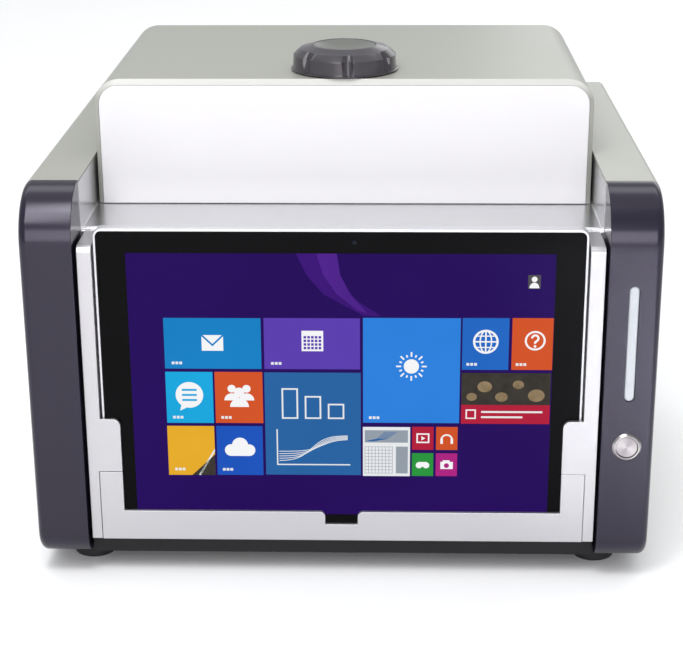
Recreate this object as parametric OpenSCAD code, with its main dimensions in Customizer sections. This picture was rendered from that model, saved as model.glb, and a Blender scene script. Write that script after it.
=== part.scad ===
// Bench-top thermal cycler with a hinged heated lid and a docked tablet.
// Frame: +Z up, the front faces -Y, origin on the bench below the middle of the case.

/* [Case] */
// Overall width of the case
case_w = 378; // [376:1:382]
// Overall depth of the case shells
case_d = 322; // [320:1:326]
// Height of the two side shoulders above the bench
shoulder_z = 247; // [244:1:250]
// Width of each shoulder, and so of each front pillar
shoulder_w = 32; // [31:0.5:33]
// Height of the silver shelf between the shoulders
deck_z = 215.6; // [215:0.1:216]
// Height of the rubber feet
foot_h = 12; // [10:1:12]
// Thickness of the folded sheet
sheet_t = 1.5; // [1.2:0.1:1.6]

/* [Front pillars] */
// Depth of a pillar, which is also the radius of its top bend
pillar_depth = 33; // [30:1:35]
// Radius of the pillar's lower front edge
pillar_toe_r = 17; // [10:1:20]
// Wall of the moulded pillar
pillar_t = 2.5; // [2:0.1:2.6]

/* [Lid] */
// Width of the lid
lid_w = 311; // [309:0.5:311]
// Depth of the lid
lid_d = 198.2; // [197:0.1:199]
// Height of the lid's top face above the bench
lid_top_z = 295.2; // [294:0.1:300]
// Distance of the lid's front face behind the case front
lid_setback = 93.3; // [93:0.1:94]
// Radius of the lid's long top edges
lid_edge_r = 16.5; // [14:0.5:18]
// Wall of the lid cover
lid_t = 2.5; // [2:0.1:2.6]

/* [Knob and lock] */
// Diameter of the knob's base flange
knob_d = 68; // [64:1:68]
// Height of the knob over its base plane
knob_h = 15.1; // [14:0.1:17]
// Distance of the knob axis behind the lid's front face
knob_back = 34.2; // [34:0.1:36]
// Number of grip grooves round the knob
knob_grooves = 7; // [5:1:9]
// Travel of each lock bolt
bolt_travel = 8; // [6:0.5:8]
// Turn of the knob that drives the full bolt travel
lock_deg = 120; // [100:5:120]

/* [Tablet and cradle] */
// Width of the tablet
tablet_w = 292; // [290:0.5:292]
// Height of the tablet
tablet_h = 199; // [197:0.5:200]
// Thickness of the tablet
tablet_t = 9.1; // [8.5:0.1:9.1]
// Outer half width of the cradle
cradle_x = 155.7; // [155.5:0.1:156]
// Top of the cradle above the bench
cradle_top_z = 214; // [213:0.5:214]
// Top of the lower bar above the bench
bar_top_z = 42.9; // [40:0.1:44]

/* [Sample block] */
// Wells along X
well_cols = 12; // [4:1:12]
// Wells along Y
well_rows = 8; // [4:1:8]
// Well pitch
well_pitch = 9; // [9:0.1:9]
// Radius of a well at its mouth
well_r = 2.8; // [2.5:0.1:2.8]
// Depth of a well
well_depth = 14.5; // [10:0.5:15]

/* [Hidden] */
$fn = 64;

eps = 0.01;
side_x = case_w / 2;
front_y = -case_d / 2;
back_y = case_d / 2;
recess_x = side_x - shoulder_w;
pillar_back_y = front_y + pillar_depth;
floor_top_z = foot_h + sheet_t;

// rear panel, set inside the shells
rear_y = back_y - 1.5;
rear_in_y = rear_y - sheet_t;
fan_x = [-75, 15];
fan_z = 110;
fan_size = 80;
fan_depth = 25;
fan_hole_pitch = 71.5;
inlet_pos = [140, 60];
switch_pos = [100, 60];
ports_pos = [120, 120];

// feet
foot_x = 160;
foot_y = 122;

// cradle and tablet, from the front plane of the cradle back
cradle_front_y = front_y + 5;
cradle_lip_t = 2.6;
glass_y = front_y + 8;
tablet_back_y = glass_y + tablet_t;
cradle_web_y = tablet_back_y + 0.4;
cradle_back_y = cradle_web_y + 22;
cradle_base_z = foot_h + 11.4;
cradle_in_x = tablet_w / 2 + 0.9;
tab_in_x = 134.7;
tab_top_z = 104.1;
bar_end_x = 149;
bar_end_z = 69;
tablet_base_z = cradle_base_z + 1.6;
shelf_front_y = front_y + 40.3;
bulkhead_y = shelf_front_y + sheet_t + 0.1;
cradle_screw_x = 120;
cradle_screw_z = [52, 185];

// right pillar controls
control_x = 172.7;
button_z = 90.2;
bar_low_z = 119.5;
bar_high_z = 192;
bar_w = 6.1;

// sample stack
block_y = 45;
block_w = well_cols * well_pitch + 8;
block_d = well_rows * well_pitch + 8;
block_top_z = 210;
block_base_z = 191;
plate_base_z = 217.2;
plate_t = 6;
insulator_t = 11;
insulator_z = plate_base_z + plate_t;
insulator_top_z = insulator_z + insulator_t;
bridge_z = insulator_top_z + 12;
post_pos = [[-45, block_y - 25], [45, block_y - 25], [-45, block_y + 25], [45, block_y + 25]];

// lid
lid_x = lid_w / 2;
lid_front_y = front_y + lid_setback;
lid_back_y = lid_front_y + lid_d;
lid_base_z = deck_z + 0.8;
cover_front_y = lid_front_y + 1;
liner_z = deck_z + 2.9;
liner_t = 2;
liner_top_z = liner_z + liner_t;
hinge_y = lid_back_y + 8.5;
hinge_z = deck_z + 11.4;
hinge_x = 105;
pin_r = 3;

// knob and lock
knob_y = lid_front_y + knob_back;
knob_z = lid_top_z + 0.8;
spindle_r = 5;
latch_z = 236;
latch_t = 2.5;
bolt_z = latch_z + latch_t + 0.3;
bolt_t = 3.5;
bolt_w = 10;
bolt_tip_x = 90.5;
cam_z = bolt_z + bolt_t + 0.4;
cam_t = 4;
cam_r = 27;
cam_pin_x = 12;
bolt_pin_r = 2;
keeper_x = 92.5;

// ---- shape helpers ----

module block(lo, hi) {
    translate(lo) cube(hi - lo);
}

module round_rect(w, h, r) {
    square([w - 2 * r, h], center = true);
    square([w, h - 2 * r], center = true);
    for (sx = [-1, 1], sy = [-1, 1])
        translate([sx * (w / 2 - r), sy * (h / 2 - r)]) circle(r);
}

// a shape drawn in X and Z, pushed along +Y from y0 to y1
module along_y(y0, y1) {
    translate([0, y1, 0]) rotate([90, 0, 0]) linear_extrude(y1 - y0) children();
}

// a shape drawn in Y and Z, pushed along +X from x0 to x1
module along_x(x0, x1) {
    translate([x0, 0, 0]) rotate([90, 0, 90]) linear_extrude(x1 - x0) children();
}

// a round bar along +Y
module rod_y(x, z, y0, y1, r) {
    translate([x, y0, z]) rotate([-90, 0, 0]) cylinder(h = y1 - y0, r = r);
}

// a round bar along +X
module rod_x(y, z, x0, x1, r) {
    translate([x0, y, z]) rotate([0, 90, 0]) cylinder(h = x1 - x0, r = r);
}

module rod_z(x, y, z0, z1, r) {
    translate([x, y, z0]) cylinder(h = z1 - z0, r = r);
}

// corner to leave out so that a square corner at (0, 0), filling +X and +Y, becomes round
module corner_cut(r) {
    difference() {
        translate([-1, -1]) square(r + 1);
        translate([r, r]) circle(r);
    }
}

module both_sides() {
    children();
    mirror([1, 0, 0]) children();
}

// ---- base ----

module rubber_feet() {
    color([0.07, 0.07, 0.08])
    for (sx = [-1, 1], sy = [-1, 1]) translate([sx * foot_x, sy * foot_y, 0]) difference() {
        union() {
            cylinder(h = 2, r1 = 13, r2 = 14);
            translate([0, 0, 2]) cylinder(h = foot_h - 2, r = 14);
        }
        translate([0, 0, -eps]) cylinder(h = 7, r = 5.5);
        cylinder(h = foot_h + 1, r = 2.2);
    }
}

module foot_screws() {
    color("silver")
    for (sx = [-1, 1], sy = [-1, 1]) {
        rod_z(sx * foot_x, sy * foot_y, 4.2, 7 - eps, 4);
        rod_z(sx * foot_x, sy * foot_y, 7 - eps, floor_top_z + 4, 2);
    }
}

module tray_outline(inset) {
    wide_x = side_x - sheet_t - 1.5 - inset;
    tongue_x = recess_x - 1 - inset;
    translate([-wide_x, pillar_back_y + 1 + inset])
        square([2 * wide_x, rear_in_y - 0.5 - pillar_back_y - 1 - 2 * inset]);
    translate([-tongue_x, front_y + 11 + inset]) square([2 * tongue_x, pillar_depth]);
}

module base_tray() {
    slot_l = 60;
    color([0.16, 0.16, 0.17])
    difference() {
        translate([0, 0, foot_h]) linear_extrude(10) tray_outline(0);
        translate([0, 0, floor_top_z]) linear_extrude(10) tray_outline(sheet_t);
        for (sx = [-1, 1], k = [0:7])
            translate([sx * 110, -60 + k * 18, foot_h - 1]) linear_extrude(5)
                round_rect(slot_l, 5, 2.4);
        for (sx = [-1, 1], sy = [-1, 1]) rod_z(sx * foot_x, sy * foot_y, foot_h - 1, floor_top_z + 1, 2.1);
    }
}

// ---- outer case ----

module shell_section() {
    edge_r = 5;
    difference() {
        translate([recess_x, foot_h + 1]) square([shoulder_w, shoulder_z - foot_h - 1]);
        translate([side_x, shoulder_z]) rotate(180) corner_cut(edge_r);
        difference() {
            translate([recess_x - 1, foot_h]) square([shoulder_w + 1 - sheet_t, shoulder_z - foot_h - sheet_t]);
            translate([side_x - sheet_t, shoulder_z - sheet_t]) rotate(180) corner_cut(edge_r - sheet_t);
        }
    }
}

module side_shell() {
    color([0.66, 0.67, 0.62])
    along_y(pillar_back_y, back_y) shell_section();
}

module left_shell() {
    mirror([1, 0, 0]) side_shell();
}

module right_shell() {
    side_shell();
}

module rear_panel() {
    ear_x = recess_x + sheet_t + 0.3;
    edge_x = side_x - sheet_t - 0.2;
    color([0.62, 0.63, 0.59])
    difference() {
        along_y(rear_in_y, rear_y) difference() {
            union() {
                translate([-edge_x, foot_h + 1.6]) square([2 * edge_x, deck_z - sheet_t - foot_h - 1.9]);
                for (s = [-1, 1]) translate([s > 0 ? ear_x : -edge_x, foot_h + 1.6])
                    square([edge_x - ear_x, shoulder_z - sheet_t - foot_h - 1.9]);
            }
            for (x = fan_x) translate([x, fan_z]) {
                circle(fan_size / 2 - 2);
                for (sx = [-1, 1], sz = [-1, 1])
                    translate([sx, sz] * fan_hole_pitch / 2) circle(2.15);
            }
            translate(inlet_pos) square([28.6, 22.6], center = true);
            translate(switch_pos) square([20, 28], center = true);
            for (dx = [-14, 14]) translate(ports_pos + [dx, 0]) square([13.4, 12.4], center = true);
            for (s = [-1, 1], k = [0:6]) translate([s * 145 - (s > 0 ? 5 : 0), 165 + k * 6])
                round_rect(56, 3, 1.45);
        }
        for (p = rear_screw_pos) rod_y(p[0], p[1], rear_in_y - 1, rear_y + 1, 1.7);
    }
}

rear_screw_pos = [for (sx = [-1, 1], z = [25, 95, 235]) [sx * 178, z]];

module rear_screws() {
    color("silver")
    for (p = rear_screw_pos) {
        rod_y(p[0], p[1], rear_y, rear_y + 1.4, 3);
        rod_y(p[0], p[1], rear_y - 7, rear_y + eps, 1.6);
    }
}

// front edge at (0, 0), running back along +X and up along +Y
module pillar_profile(len, ht, r_top, r_toe) {
    difference() {
        square([len, ht]);
        corner_cut(r_toe);
        translate([0, ht]) mirror([0, 1]) corner_cut(r_top);
    }
}

module pillar() {
    t = pillar_t;
    ht = shoulder_z - foot_h;
    edge_r = 3.5;
    intersection() {
        difference() {
            translate([0, front_y, foot_h]) along_x(recess_x, side_x)
                pillar_profile(pillar_depth, ht, pillar_depth, pillar_toe_r);
            translate([0, front_y + t, foot_h + t]) along_x(recess_x + t, side_x - t)
                pillar_profile(pillar_depth, ht - 2 * t, pillar_depth - t, pillar_toe_r - t);
        }
        translate([0, 0, foot_h - 1]) linear_extrude(ht + 2) difference() {
            translate([recess_x, front_y]) square([shoulder_w, pillar_depth]);
            translate([side_x, front_y]) mirror([1, 0]) corner_cut(edge_r);
        }
        along_y(front_y - 1, pillar_back_y + 1) difference() {
            translate([recess_x, foot_h]) square([shoulder_w, ht]);
            translate([side_x, foot_h]) mirror([1, 0]) corner_cut(6);
            translate([side_x, shoulder_z]) rotate(180) corner_cut(5);
        }
    }
}

module left_pillar() {
    color([0.28, 0.26, 0.3]) mirror([1, 0, 0]) pillar();
}

module light_bar_outline(w, grow) {
    translate([control_x, (bar_low_z + bar_high_z) / 2])
        round_rect(w, bar_high_z - bar_low_z + grow, w / 2 - eps);
}

module right_pillar() {
    color([0.34, 0.32, 0.38])
    difference() {
        pillar();
        along_y(front_y - 1, front_y + pillar_t + 1) light_bar_outline(bar_w + 0.3, 0.3);
        rod_y(control_x, button_z, front_y - 1, front_y + pillar_t + 1, 8.1);
    }
}

// folded pan: the silver shelf, its front hem and the two recess walls
module pan_section() {
    bend_r = 3;
    difference() {
        translate([-recess_x - sheet_t, deck_z - sheet_t])
            square([2 * (recess_x + sheet_t), shoulder_z - sheet_t - 0.1 - deck_z + sheet_t]);
        translate([-recess_x, deck_z]) square([2 * recess_x, shoulder_z]);
        for (s = [-1, 1]) translate([s * (recess_x + sheet_t), deck_z - sheet_t])
            mirror([s > 0 ? 1 : 0, 0]) corner_cut(bend_r);
    }
    for (s = [-1, 1]) translate([s * recess_x, deck_z]) mirror([s > 0 ? 1 : 0, 0])
        corner_cut(bend_r - sheet_t);
}

module recess_pan() {
    hole_w = block_w + 44;
    hole_d = block_d + 28;
    color([0.78, 0.79, 0.8])
    difference() {
        union() {
            along_y(shelf_front_y, rear_y) pan_section();
            block([-recess_x, shelf_front_y, deck_z - 9], [recess_x, shelf_front_y + sheet_t, deck_z - 1]);
            both_sides() block([recess_x, pillar_back_y + 0.2, deck_z - 4],
                               [recess_x + sheet_t, shelf_front_y + 5, shoulder_z - sheet_t - 0.1]);
        }
        translate([0, block_y, deck_z - 3]) linear_extrude(5) round_rect(hole_w, hole_d, 6);
    }
}

module front_bulkhead() {
    color([0.55, 0.56, 0.57])
    along_y(bulkhead_y, bulkhead_y + sheet_t) difference() {
        translate([-recess_x + 1, floor_top_z + 0.1])
            square([2 * recess_x - 2, deck_z - sheet_t - floor_top_z - 0.3]);
        for (sx = [-1, 1], z = cradle_screw_z) translate([sx * cradle_screw_x, z]) circle(2.2);
        translate([0, 110]) round_rect(60, 24, 5);
        for (sx = [-1, 1]) translate([sx * 80, 110]) round_rect(30, 40, 5);
    }
}

// ---- tablet cradle ----

module cradle_side() {
    wall = 2;
    depth = cradle_back_y - cradle_front_y;
    ht = cradle_top_z - cradle_base_z;
    difference() {
        translate([0, cradle_front_y, cradle_base_z]) along_x(cradle_in_x, cradle_x)
            pillar_profile(depth, ht, 4, 1);
        translate([0, cradle_front_y + wall, cradle_base_z + wall])
            along_x(cradle_in_x + wall, cradle_x - wall)
            pillar_profile(depth, ht - 2 * wall, 2, 0.5);
        block([cradle_in_x - 1, cradle_front_y - 1, cradle_base_z - 1],
              [bar_end_x + 0.2, cradle_front_y + cradle_lip_t, bar_end_z + 0.2]);
    }
}

module cradle_tab() {
    along_y(cradle_front_y, cradle_front_y + cradle_lip_t) difference() {
        translate([tab_in_x, bar_end_z + 0.2]) square([cradle_in_x + 1 - tab_in_x, tab_top_z - bar_end_z - 0.2]);
        translate([tab_in_x, tab_top_z]) mirror([0, 1]) corner_cut(4.5);
    }
}

module cradle_frame() {
    wall = 2;
    color([0.86, 0.86, 0.88])
    difference() {
        union() {
            both_sides() {
                cradle_side();
                cradle_tab();
            }
            block([-cradle_in_x - 1, cradle_web_y, cradle_base_z], [cradle_in_x + 1, cradle_web_y + wall, cradle_top_z]);
            block([-cradle_in_x - 1, cradle_web_y, cradle_top_z - wall], [cradle_in_x + 1, cradle_back_y, cradle_top_z]);
            block([-cradle_in_x - 1, cradle_web_y, cradle_base_z], [cradle_in_x + 1, cradle_back_y, cradle_base_z + wall]);
            for (sx = [-1, 1], z = cradle_screw_z)
                rod_y(sx * cradle_screw_x, z, cradle_web_y + 1, bulkhead_y, 5);
        }
        for (sx = [-1, 1], z = cradle_screw_z)
            rod_y(sx * cradle_screw_x, z, cradle_web_y + 6, bulkhead_y + 1, 2.1);
    }
}

module cradle_bar() {
    notch_w = 20;
    notch_z = 34.4;
    notch_r = 3.3;
    color([0.88, 0.88, 0.9]) {
        along_y(cradle_front_y, cradle_front_y + cradle_lip_t) difference() {
            union() {
                translate([-bar_end_x, cradle_base_z]) square([2 * bar_end_x, bar_top_z - cradle_base_z]);
                for (s = [0, 1]) mirror([s, 0]) translate([tab_in_x, cradle_base_z])
                    square([bar_end_x - tab_in_x, bar_end_z - cradle_base_z]);
            }
            translate([-notch_w / 2, notch_z]) square([notch_w, 20]);
            for (s = [0, 1]) mirror([s, 0]) translate([notch_w / 2, bar_top_z])
                mirror([0, 1]) corner_cut(notch_r);
        }
        block([-cradle_in_x + 0.3, cradle_front_y + 1, cradle_base_z], [cradle_in_x - 0.3, cradle_web_y - 0.1, cradle_base_z + 1.5]);
    }
}

module cradle_screws() {
    color([0.2, 0.2, 0.22])
    for (sx = [-1, 1], z = cradle_screw_z) {
        rod_y(sx * cradle_screw_x, z, bulkhead_y + sheet_t, bulkhead_y + sheet_t + 3, 4);
        rod_y(sx * cradle_screw_x, z, cradle_web_y + 10, bulkhead_y + sheet_t + eps, 2);
    }
}

// ---- sample stack under the lid ----

module sample_surround() {
    lip_w = block_w + 52;
    lip_d = block_d + 36;
    wall = 3;
    color([0.13, 0.13, 0.14])
    difference() {
        union() {
            translate([0, block_y, deck_z]) linear_extrude(1.5) round_rect(lip_w, lip_d, 9);
            translate([0, block_y, deck_z - 12]) linear_extrude(12.5) round_rect(block_w + 42, block_d + 26, 5);
        }
        translate([0, block_y, deck_z - 13]) linear_extrude(11) round_rect(block_w + 42 - 2 * wall, block_d + 26 - 2 * wall, 4);
        translate([0, block_y, deck_z - 13]) linear_extrude(20) square([block_w + 1, block_d + 1], center = true);
    }
}

module sample_block() {
    color([0.82, 0.83, 0.84])
    difference() {
        block([-block_w / 2, block_y - block_d / 2, block_base_z], [block_w / 2, block_y + block_d / 2, block_top_z]);
        for (i = [0:well_cols - 1], j = [0:well_rows - 1])
            translate([(i - (well_cols - 1) / 2) * well_pitch, block_y + (j - (well_rows - 1) / 2) * well_pitch,
                       block_top_z - well_depth])
                cylinder(h = well_depth + eps, r1 = 1.5, r2 = well_r, $fn = 32);
    }
}

module peltier_modules() {
    size = 37;
    color([0.92, 0.92, 0.9])
    for (i = [-1:1], j = [-0.5, 0.5]) translate([i * 38.5, block_y + j * 40, 0]) {
        block([-size / 2, -size / 2, block_base_z - 3.8], [size / 2, size / 2, block_base_z - 3]);
        block([-size / 2 + 1, -size / 2 + 1, block_base_z - 3 - eps], [size / 2 - 1, size / 2 - 1, block_base_z - 0.8 + eps]);
        block([-size / 2, -size / 2, block_base_z - 0.8], [size / 2, size / 2, block_base_z]);
    }
}

sink_w = 132;
sink_d = 96;
sink_top_z = block_base_z - 3.8;
sink_fin_h = 42;

module heatsink() {
    fin_pitch = 8;
    color([0.72, 0.73, 0.75]) {
        block([-sink_w / 2, block_y - sink_d / 2, sink_top_z - 10], [sink_w / 2, block_y + sink_d / 2, sink_top_z]);
        for (x = [-sink_w / 2 + 2:fin_pitch:sink_w / 2 - 1])
            block([x, block_y - sink_d / 2, sink_top_z - 10 - sink_fin_h], [x + 1.8, block_y + sink_d / 2, sink_top_z - 10 + eps]);
    }
}

module heatsink_brackets() {
    color([0.6, 0.6, 0.62])
    both_sides() {
        block([sink_w / 2, block_y - 40, floor_top_z], [sink_w / 2 + 2, block_y + 40, sink_top_z]);
        block([sink_w / 2, block_y - 40, floor_top_z], [sink_w / 2 + 14, block_y + 40, floor_top_z + 2]);
    }
}

// ---- rear services ----

module fan_frame() {
    difference() {
        along_y(-fan_depth, 0) difference() {
            round_rect(fan_size, fan_size, 4);
            circle(fan_size / 2 - 2);
            for (sx = [-1, 1], sz = [-1, 1]) translate([sx, sz] * fan_hole_pitch / 2) circle(2.15);
        }
        // the middle of the casing is waisted between its two mounting flanges
        for (a = [0:90:270]) rotate([0, a, 0])
            translate([fan_size / 2 - 1.2, -fan_depth + 4, -fan_size]) cube([5, fan_depth - 8, 2 * fan_size]);
    }
    rod_y(0, 0, -fan_depth, -fan_depth + 3, 16);
    for (a = [45:90:315]) rotate([0, a, 0])
        translate([14, -fan_depth, -1.5]) cube([fan_size / 2 - 15, 2.5, 3]);
}

module fan_frames() {
    color([0.1, 0.1, 0.11])
    for (x = fan_x) translate([x, rear_in_y, fan_z]) fan_frame();
}

module fan_rotor() {
    blades = 7;
    rod_y(0, 0, -fan_depth + 3.4, -1.5, 15.5);
    intersection() {
        rod_y(0, 0, -fan_depth + 3.6, -2, fan_size / 2 - 3);
        for (k = [0:blades - 1]) rotate([0, k * 360 / blades, 0])
            translate([14, -fan_depth / 2 + 0.8, 0]) rotate([35, 0, 0]) translate([0, -13, -0.9]) cube([26, 26, 1.8]);
    }
}

module left_fan_rotor() {
    color([0.14, 0.14, 0.15]) translate([fan_x[0], rear_in_y, fan_z]) fan_rotor();
}

module right_fan_rotor() {
    color([0.14, 0.14, 0.15]) translate([fan_x[1], rear_in_y, fan_z]) fan_rotor();
}

module fan_guards() {
    wire_r = 0.9;
    guard_y = rear_y + 3.3 - wire_r;
    color("silver")
    for (x = fan_x) translate([x, guard_y, fan_z]) {
        for (r = [10, 19, 28, 37]) rotate([90, 0, 0]) rotate_extrude() translate([r, 0]) circle(wire_r, $fn = 16);
        for (a = [45:90:315]) rotate([0, a, 0]) {
            translate([8, -1.2, 0]) rotate([0, 90, 0]) cylinder(h = fan_hole_pitch * 0.7071 - 5, r = 0.8, $fn = 16);
            translate([fan_hole_pitch * 0.7071, 0, 0]) rotate([90, 0, 0])
                translate([0, 0, 0.1]) cylinder(h = 3.3 - wire_r - 0.1, r = 4);
            translate([fan_hole_pitch * 0.7071, 0, 0]) rotate([90, 0, 0]) cylinder(h = 14, r = 2);
        }
    }
}

module power_inlet() {
    color([0.08, 0.08, 0.09])
    translate([inlet_pos[0], 0, inlet_pos[1]])
    difference() {
        union() {
            along_y(rear_y, rear_y + 2.5) round_rect(50, 26, 6);
            along_y(rear_in_y - 18, rear_y + eps) round_rect(28, 22, 2);
        }
        along_y(rear_in_y - 14, rear_y + 5) intersection() {
            round_rect(24.4, 17, 1);
            translate([0, -2]) rotate(45) square(23.6, center = true);
        }
        for (s = [-1, 1]) rod_y(s * 20, 0, rear_y - 1, rear_y + 3, 1.7);
        for (p = [[-7, -2], [7, -2], [0, 3]]) translate([p[0], 0, p[1]])
            block([-1, rear_in_y - 17, -2], [1, rear_in_y - 13, 2]);
    }
}

module inlet_pins() {
    color([0.8, 0.78, 0.7])
    translate([inlet_pos[0], 0, inlet_pos[1]])
    for (p = [[-7, -2], [7, -2], [0, 3]]) translate([p[0], 0, p[1]])
        block([-1, rear_in_y - 17, -2], [1, rear_in_y - 1, 2]);
}

module switch_housing() {
    color([0.08, 0.08, 0.09])
    translate([switch_pos[0], 0, switch_pos[1]])
    difference() {
        union() {
            along_y(rear_y, rear_y + 2) round_rect(24, 32, 2);
            along_y(rear_in_y - 14, rear_y + eps) square([19.6, 27.6], center = true);
        }
        along_y(rear_in_y - 10, rear_y + 3) square([15.4, 23.4], center = true);
    }
}

rocker_pivot_y = rear_in_y - 3.5;

module power_rocker() {
    color([0.12, 0.12, 0.13])
    translate([switch_pos[0], rocker_pivot_y, switch_pos[1]]) rotate([8, 0, 0])
    intersection() {
        along_x(-7.3, 7.3) polygon([[-3, -6], [-3, 6], [5.6, 10.6], [4, 0], [5.6, -10.6]]);
        rod_x(0, 0, -8, 8, 11.6);
    }
}

module data_ports() {
    color([0.7, 0.7, 0.72])
    for (dx = [-14, 14]) translate([ports_pos[0] + dx, 0, ports_pos[1]]) {
        along_y(rear_in_y - 14, rear_y + 0.6) difference() {
            square([13, 12], center = true);
            square([11.4, 10.4], center = true);
        }
        block([-5.8, rear_in_y - 14, -5.3], [5.8, rear_in_y - 12.5, 5.3]);
        block([-2.8, rear_in_y - 13, 0.2], [2.8, rear_y - 1, 3.4]);
    }
}

module power_supply() {
    color([0.7, 0.71, 0.72])
    difference() {
        block([-174, -60, floor_top_z], [-84, 100, 58]);
        for (k = [0:9]) block([-160, -45 + k * 14, 56], [-98, -40 + k * 14, 59]);
    }
}

module control_board() {
    board_z = 28;
    color([0.1, 0.35, 0.2]) difference() {
        block([88, -60, board_z], [174, 100, board_z + 1.6]);
        for (p = standoff_pos) rod_z(p[0], p[1], board_z - 1, board_z + 3, 1.7);
    }
    color([0.15, 0.15, 0.16]) {
        block([105, -20, board_z + 1.6 - eps], [133, 8, board_z + 4]);
        block([145, 20, board_z + 1.6 - eps], [160, 35, board_z + 3.4]);
        block([100, 60, board_z + 1.6 - eps], [150, 70, board_z + 13]);
        for (k = [0:3]) rod_z(150, -45 + k * 14, board_z + 1.6 - eps, board_z + 18, 5);
    }
}

standoff_pos = [for (x = [94, 168], y = [-54, 94]) [x, y]];

module board_standoffs() {
    color([0.8, 0.7, 0.4])
    for (p = standoff_pos) {
        translate([p[0], p[1], floor_top_z]) cylinder(h = 28 - floor_top_z, r = 3.5, $fn = 6);
        rod_z(p[0], p[1], 28 - eps, 31, 1.5);
    }
}

// ---- controls in the right pillar ----

module light_bar_lens() {
    color([0.86, 0.9, 0.94]) {
        along_y(front_y + 0.5, front_y + pillar_t + 0.5) light_bar_outline(bar_w, 0);
        along_y(front_y + pillar_t + 0.1, front_y + pillar_t + 2) light_bar_outline(bar_w + 4, 4);
    }
}

module light_bar_board() {
    board_y = front_y + pillar_t + 3.5;
    color([0.9, 0.9, 0.88])
    block([control_x - 5, board_y, bar_low_z - 3], [control_x + 5, board_y + 1.6, bar_high_z + 3]);
    color([1, 1, 0.85])
    for (k = [0:7]) translate([control_x, 0, bar_low_z + 5 + k * (bar_high_z - bar_low_z - 10) / 7])
        block([-1.4, board_y - 1, -1.4], [1.4, board_y + eps, 1.4]);
}

module button_bezel() {
    barrel_r = 8;
    proud = 1.8;
    color([0.75, 0.74, 0.72])
    translate([control_x, front_y, button_z]) rotate([-90, 0, 0]) {
        rotate_extrude() polygon([[6.85, -proud], [7.6, -proud], [8.8, -0.6], [8.8, 0], [barrel_r, 0],
                                  [barrel_r, 20], [0, 20], [0, 13.6], [6.85, 13.6]]);
        for (s = [-1, 1]) translate([s * 3 - 0.4, -1.4, 20 - eps]) cube([0.8, 2.8, 7]);
    }
}

module button_cap() {
    color([0.8, 0.8, 0.8])
    translate([control_x, front_y, button_z]) rotate([-90, 0, 0])
        rotate_extrude() polygon([[0, -1.3], [6.2, -1.3], [6.75, -0.9], [6.75, 11], [0, 11]]);
}

module button_nut() {
    color([0.72, 0.72, 0.7])
    translate([control_x, front_y + pillar_t, button_z]) rotate([-90, 0, 0]) difference() {
        cylinder(h = 3.5, r = 11, $fn = 6);
        translate([0, 0, -1]) cylinder(h = 6, r = 8.05);
    }
}

// ---- lid hinge ----

module hinge_base() {
    lug = 9;
    difference() {
        union() {
            for (s = [-1, 1]) {
                rod_x(hinge_y, hinge_z, s * 14 - lug / 2, s * 14 + lug / 2, 6.2);
                block([s * 14 - lug / 2, hinge_y - 4, deck_z + 2], [s * 14 + lug / 2, hinge_y + 6.2, hinge_z]);
            }
            block([-22, hinge_y - 4, deck_z], [22, hinge_y + 11, deck_z + 3]);
        }
        rod_x(hinge_y, hinge_z, -30, 30, pin_r);
    }
}

module hinge_bases() {
    color([0.5, 0.5, 0.52])
    for (s = [-1, 1]) translate([s * hinge_x, 0, 0]) hinge_base();
}

module hinge_pins() {
    color("silver")
    for (s = [-1, 1]) rod_x(hinge_y, hinge_z, s * hinge_x - 20, s * hinge_x + 20, pin_r);
}

module hinge_arms() {
    color([0.45, 0.45, 0.47])
    for (s = [-1, 1]) translate([s * hinge_x, 0, 0]) difference() {
        union() {
            rod_x(hinge_y, hinge_z, -9, 9, 6);
            block([-9, lid_back_y - 1, hinge_z - 6], [9, hinge_y, hinge_z + 6]);
            block([-9, lid_back_y - lid_t - 4, hinge_z - 6], [9, lid_back_y - lid_t - 1, hinge_z + 26]);
            block([-9, lid_back_y - lid_t - 1.5, hinge_z - 5.9], [9, lid_back_y, hinge_z + 5.9]);
        }
        rod_x(hinge_y, hinge_z, -30, 30, pin_r + 0.05);
    }
}

// ---- lid ----

module arch(half_w, z0, z1, r) {
    difference() {
        translate([-half_w, z0]) square([2 * half_w, z1 - z0]);
        for (s = [0, 1]) mirror([s, 0]) translate([half_w, z1]) rotate(180) corner_cut(r);
    }
}

module lid_cover() {
    color([0.68, 0.69, 0.64])
    difference() {
        along_y(cover_front_y, lid_back_y) arch(lid_x, lid_base_z, lid_top_z, lid_edge_r);
        along_y(cover_front_y - 1, lid_back_y - lid_t)
            arch(lid_x - lid_t, lid_base_z - 1, lid_top_z - lid_t, lid_edge_r - lid_t);
        rod_z(0, knob_y, lid_top_z - 5, lid_top_z + 1, 8.1);
        for (s = [-1, 1])
            block([s * hinge_x - 9.3, lid_back_y - lid_t - 1, hinge_z - 6.3], [s * hinge_x + 9.3, lid_back_y + 1, hinge_z + 6.3]);
    }
}

module lid_front_panel() {
    color([0.94, 0.94, 0.95])
    along_y(lid_front_y, lid_front_y + 3)
        arch(lid_x - lid_t - 0.3, lid_base_z, lid_top_z - lid_t - 1.4, lid_edge_r - lid_t - 2);
}

module lid_liner() {
    color([0.2, 0.2, 0.22])
    difference() {
        union() {
            block([-lid_x + lid_t + 0.3, lid_front_y + 3.2, liner_z], [lid_x - lid_t - 0.3, lid_back_y - lid_t - 4.3, liner_top_z]);
            translate([0, block_y, liner_z]) linear_extrude(6) round_rect(block_w + 10, block_d + 10, 4);
        }
        translate([0, block_y, liner_z - 1]) linear_extrude(12) round_rect(block_w + 4, block_d + 4, 2);
        for (s = [-1, 1]) block([s * (keeper_x + 1) - 5, knob_y - 14, liner_z - 1], [s * (keeper_x + 1) + 5, knob_y + 14, liner_top_z + 1]);
    }
}

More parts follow.
